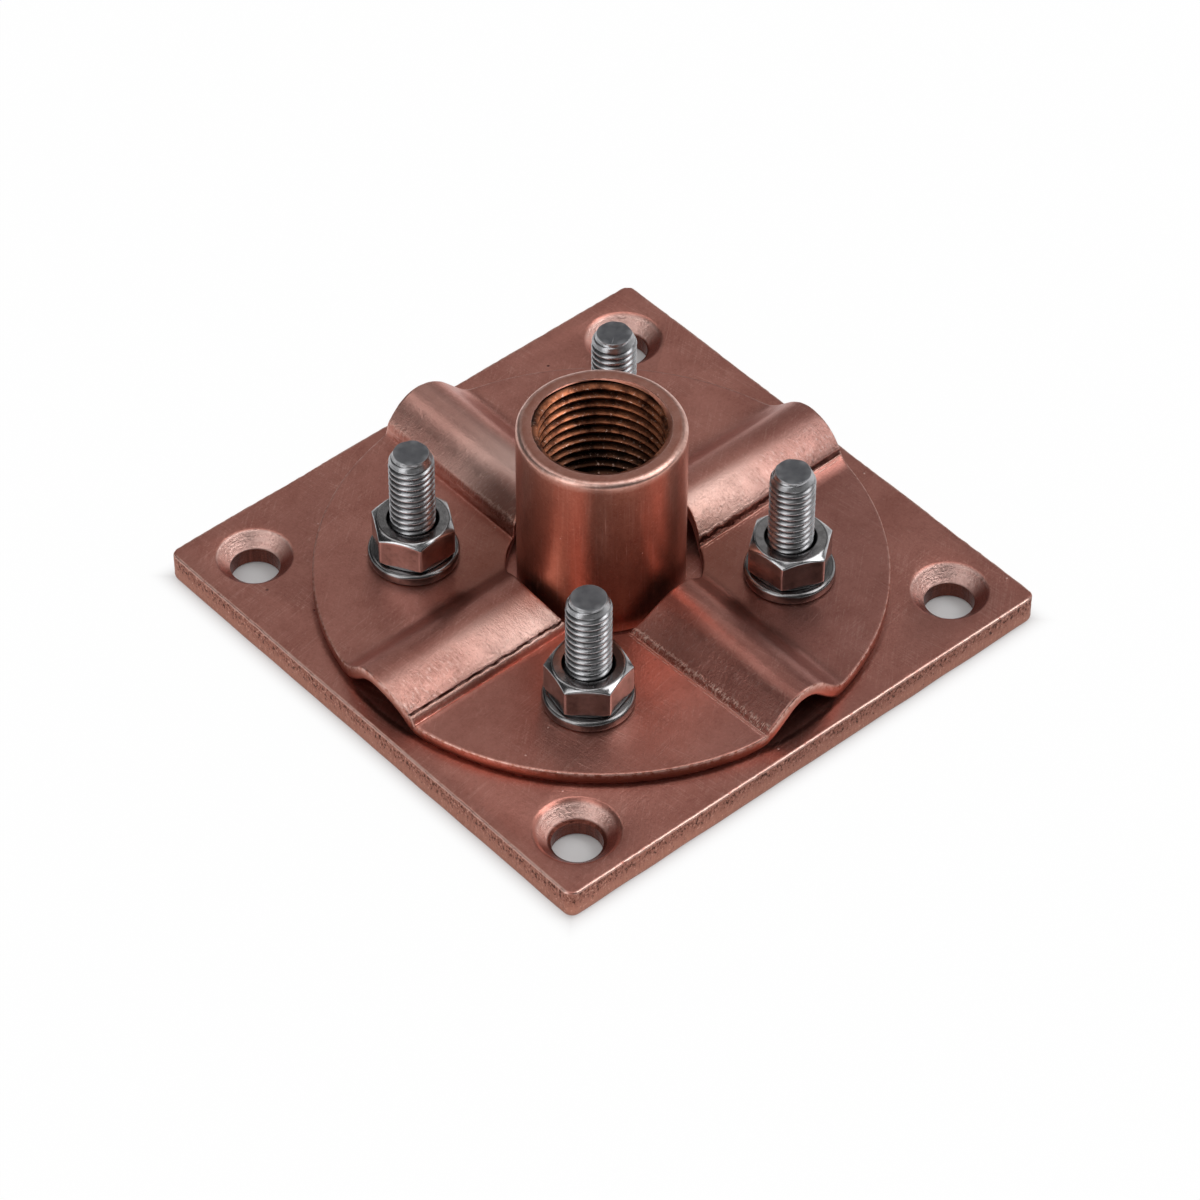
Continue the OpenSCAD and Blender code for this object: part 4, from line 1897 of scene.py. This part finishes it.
@dataclass(frozen=True)
class Softbox:
    """A soft square lamp.

    Attributes:
        name: Name of the lamp.
        azimuth: Where it stands, in degrees anticlockwise from +X.
        elevation: How high it stands, in degrees.
        radiance: How bright its face is, 1 being white.
        size: Its side, in metres.
        distance: How far off it is, in metres.
    """

    name: str
    azimuth: float
    elevation: float
    radiance: float
    size: float = 0.6
    distance: float = 1.2

    def place(self) -> None:
        """Adds the lamp, facing the part."""
        lamp = bpy.data.lights.new(self.name, "AREA")
        lamp.shape = "SQUARE"
        lamp.size = self.size
        lamp.energy = self.radiance * math.pi * self.size ** 2
        made = linked(self.name, lamp)
        a, e = math.radians(self.azimuth), math.radians(self.elevation)
        direction = Vector((math.cos(a) * math.cos(e), math.sin(a) * math.cos(e), math.sin(e)))
        made.location = direction * self.distance
        made.rotation_euler = direction.to_track_quat("Z", "Y").to_euler()


@dataclass(frozen=True)
class Studio:
    """Camera, floor, surroundings and lamps.

    Attributes:
        azimuth: Camera's direction about the part, in degrees; 0 looks along +Y.
        elevation: Camera's height, in degrees.
        roll: Its tilt about its own axis, in degrees.
        distance: Its distance from what it looks at, in millimetres.
        target: What it looks at, in millimetres.
        lens: Focal length, in millimetres.
        sensor: Width of the sensor, in millimetres.
        floor_size: Side of the floor, in metres.
        floor_white: Share of plain white in the floor that the camera sees.
        floor_in_metal: Share of plain white in the floor that metal shows.
        shade: Share of white that the camera sees under the part, through its holes, where painted
            shadow shows.
        footprint: Half the side of the square under the part, in metres.
        bare: Colour of the floor all round the part.
        under: Colour of the floor under it, darker as painted shadow.
        fill: What matt surfaces get from all round.
        sky: What metal sees from the horizon to overhead, as sine of the height and grey.
        lamps: The lamps.
    """

    azimuth: float = -41.384
    elevation: float = 45.170
    roll: float = 0.264
    distance: float = 701.92
    target: Triple = (-3.356, -3.578, 4.5)
    lens: float = 162.88
    sensor: float = 36.0
    floor_size: float = 8.0
    floor_white: float = 0.97
    floor_in_metal: float = 0.17
    shade: float = 0.04
    footprint: float = 0.0405
    bare: tuple[float, ...] = (0.9, 0.9, 0.9, 1.0)
    under: tuple[float, ...] = (0.62, 0.61, 0.61, 1.0)
    fill: float = 0.3
    sky: tuple[tuple[float, float], ...] = ((0.0, 0.19), (0.12, 0.19), (0.45, 0.02), (1.0, 0.02))
    lamps: tuple[Softbox, ...] = (
        Softbox("right_softbox", 308.0, 42.0, 2.1),
        Softbox("high_right_softbox", 330.0, 58.0, 2.3),
        Softbox("low_right_softbox", 350.0, 20.0, 0.6, 0.7),
        Softbox("high_back_softbox", 5.0, 62.0, 0.6, 0.55),
        Softbox("back_softbox", 35.0, 50.0, 0.37, 0.55),
        Softbox("low_back_softbox", 60.0, 28.0, 0.32, 0.7),
        Softbox("side_softbox", 20.0, 15.0, 0.45),
        Softbox("high_left_softbox", 100.0, 60.0, 1.0, 0.55),
        Softbox("far_left_softbox", 147.0, 20.0, 0.35),
        Softbox("left_softbox", 190.0, 50.0, 1.3, 0.7),
        Softbox("low_left_softbox", 185.0, 20.0, 1.6, 0.7),
        Softbox("near_softbox", 240.0, 60.0, 0.2),
        Softbox("top_softbox", 90.0, 88.0, 1.6, 0.5))

    def camera(self) -> None:
        """Places the camera where the photograph was taken."""
        a, e, r = (math.radians(v) for v in (self.azimuth, self.elevation, self.roll))
        back = Vector((math.sin(a) * math.cos(e), -math.cos(a) * math.cos(e), math.sin(e)))
        right = Vector((math.cos(a), math.sin(a), 0.0))
        up = back.cross(right)
        across = right * math.cos(r) + up * math.sin(r)
        upward = up * math.cos(r) - right * math.sin(r)
        lens = bpy.data.cameras.new("camera")
        lens.lens = self.lens
        lens.sensor_width = self.sensor
        lens.clip_start = 0.01
        camera = linked("camera", lens)
        turn = Matrix((across, upward, back)).transposed().to_4x4()
        place = (Vector(self.target) + back * self.distance) * MM
        camera.matrix_world = Matrix.Translation(place) @ turn
        bpy.context.scene.camera = camera

    def rays(self, g: Graph) -> tuple[Field, Field]:
        """Returns 1 for what the camera sees directly, and 1 for what metal or glass shows."""
        path = g.node("ShaderNodeLightPath")
        metal = g.most(g.out(path, "Is Glossy Ray"), g.out(path, "Is Transmission Ray"))
        return g.out(path, "Is Camera Ray"), metal

    def open_floor(self, g: Graph) -> Field:
        """Returns 1 all round the part and 0 under it."""
        x, y, _ = g.split(g.field("ShaderNodeTexCoord", key="Object"))
        return g.step(g.most(abs(x), abs(y)), self.footprint - 0.003, self.footprint + 0.002)

    def floor(self) -> None:
        """Lays the white floor, which keeps the part's shadow and is painted darker under the part
        as shadow.
        """
        half = self.floor_size / 2
        mesh = bpy.data.meshes.new("floor")
        corners = [(half * x, half * y, 0.0) for x, y in (corner.signs() for corner in Corner)]
        mesh.from_pydata(corners, [], [(0, 1, 2, 3)])
        material = bpy.data.materials.new("floor_white")
        material.use_nodes = True
        material.node_tree.nodes.clear()
        g = Graph(material.node_tree)
        bare = g.field("ShaderNodeBsdfDiffuse", None, {"Color": self.bare})
        # Painted shadow: the floor under the part is darker.
        under = g.field("ShaderNodeBsdfDiffuse", None, {"Color": self.under})
        matt = g.field("ShaderNodeMixShader", None, {0: self.open_floor(g), 1: under, 2: bare})
        white = g.field("ShaderNodeEmission", None, {"Strength": 1.0})
        camera, metal = self.rays(g)
        eye = camera * g.blend(self.open_floor(g), self.shade, self.floor_white)
        share = g.most(eye, metal * self.floor_in_metal)
        mixed = g.field("ShaderNodeMixShader", None, {0: share, 1: matt, 2: white})
        g.node("ShaderNodeOutputMaterial", None, {"Surface": mixed})
        mesh.materials.append(material)
        made = linked("floor", mesh)

    def surroundings(self) -> None:
        """Sets the world: white to the camera, a graded studio to metal, plain fill to the rest."""
        world = bpy.data.worlds.new("studio")
        world.use_nodes = True
        world.node_tree.nodes.clear()
        g = Graph(world.node_tree)
        _, _, height = g.split(g.field("ShaderNodeTexCoord", key="Generated"))
        sky = g.field("ShaderNodeValToRGB", {"stops": self.sky}, {0: height})
        matt = (self.fill, self.fill, self.fill, 1.0)
        camera, metal = self.rays(g)
        light = g.tint(camera, g.tint(g.most(camera, metal), matt, sky), WHITE)
        background = g.field("ShaderNodeBackground", None, {"Color": light})
        g.node("ShaderNodeOutputWorld", None, {"Surface": background})
        bpy.context.scene.world = world

    def build(self) -> None:
        """Builds the whole studio."""
        bpy.context.scene.view_settings.view_transform = "Standard"
        self.camera()
        self.floor()
        self.surroundings()
        for lamp in self.lamps:
            lamp.place()


@dataclass(frozen=True)
class Finishes:
    """Every finish of the part."""

    plate: PlateCopper = PlateCopper("sheared_copper")
    boss: BossCopper = BossCopper("turned_copper", (0.77, 0.51, 0.43), (0.62, 0.37, 0.30), 0.35,
                                  upright=True, brushed=0.2, grain=0.03, seed=40.0)
    cover: CoverCopper = CoverCopper("pressed_copper", seed=80.0)
    stud: Steel = Steel("rolled_steel", (0.72, 0.72, 0.73), (0.42, 0.41, 0.41), 0.29)
    washer: Steel = Steel("punched_steel", (0.50, 0.49, 0.49), (0.28, 0.27, 0.27), 0.22)
    nut: Steel = Steel("dark_steel", (0.60, 0.59, 0.59), (0.30, 0.29, 0.29), 0.17)


def main() -> None:
    """Builds the part piece by piece, then the studio round it."""
    logging.basicConfig(level=logging.INFO, format="%(name)s: %(message)s")
    finishes = Finishes()
    Studio().build()
    steel = finishes.stud.material()
    nut_steel = finishes.nut.material()
    washer_steel = finishes.washer.material()
    boss_copper = finishes.boss.material()
    thread = ThreadTree(steel)
    Plate().build(finishes.plate.material())
    Boss().build(thread, boss_copper)
    Cover().build(finishes.cover.material())
    for corner in Corner:
        Stud().build(corner, thread, steel)
        Washer().build(corner, washer_steel)
        Nut().build(corner, thread, nut_steel)


if __name__ == "__main__":
    main()
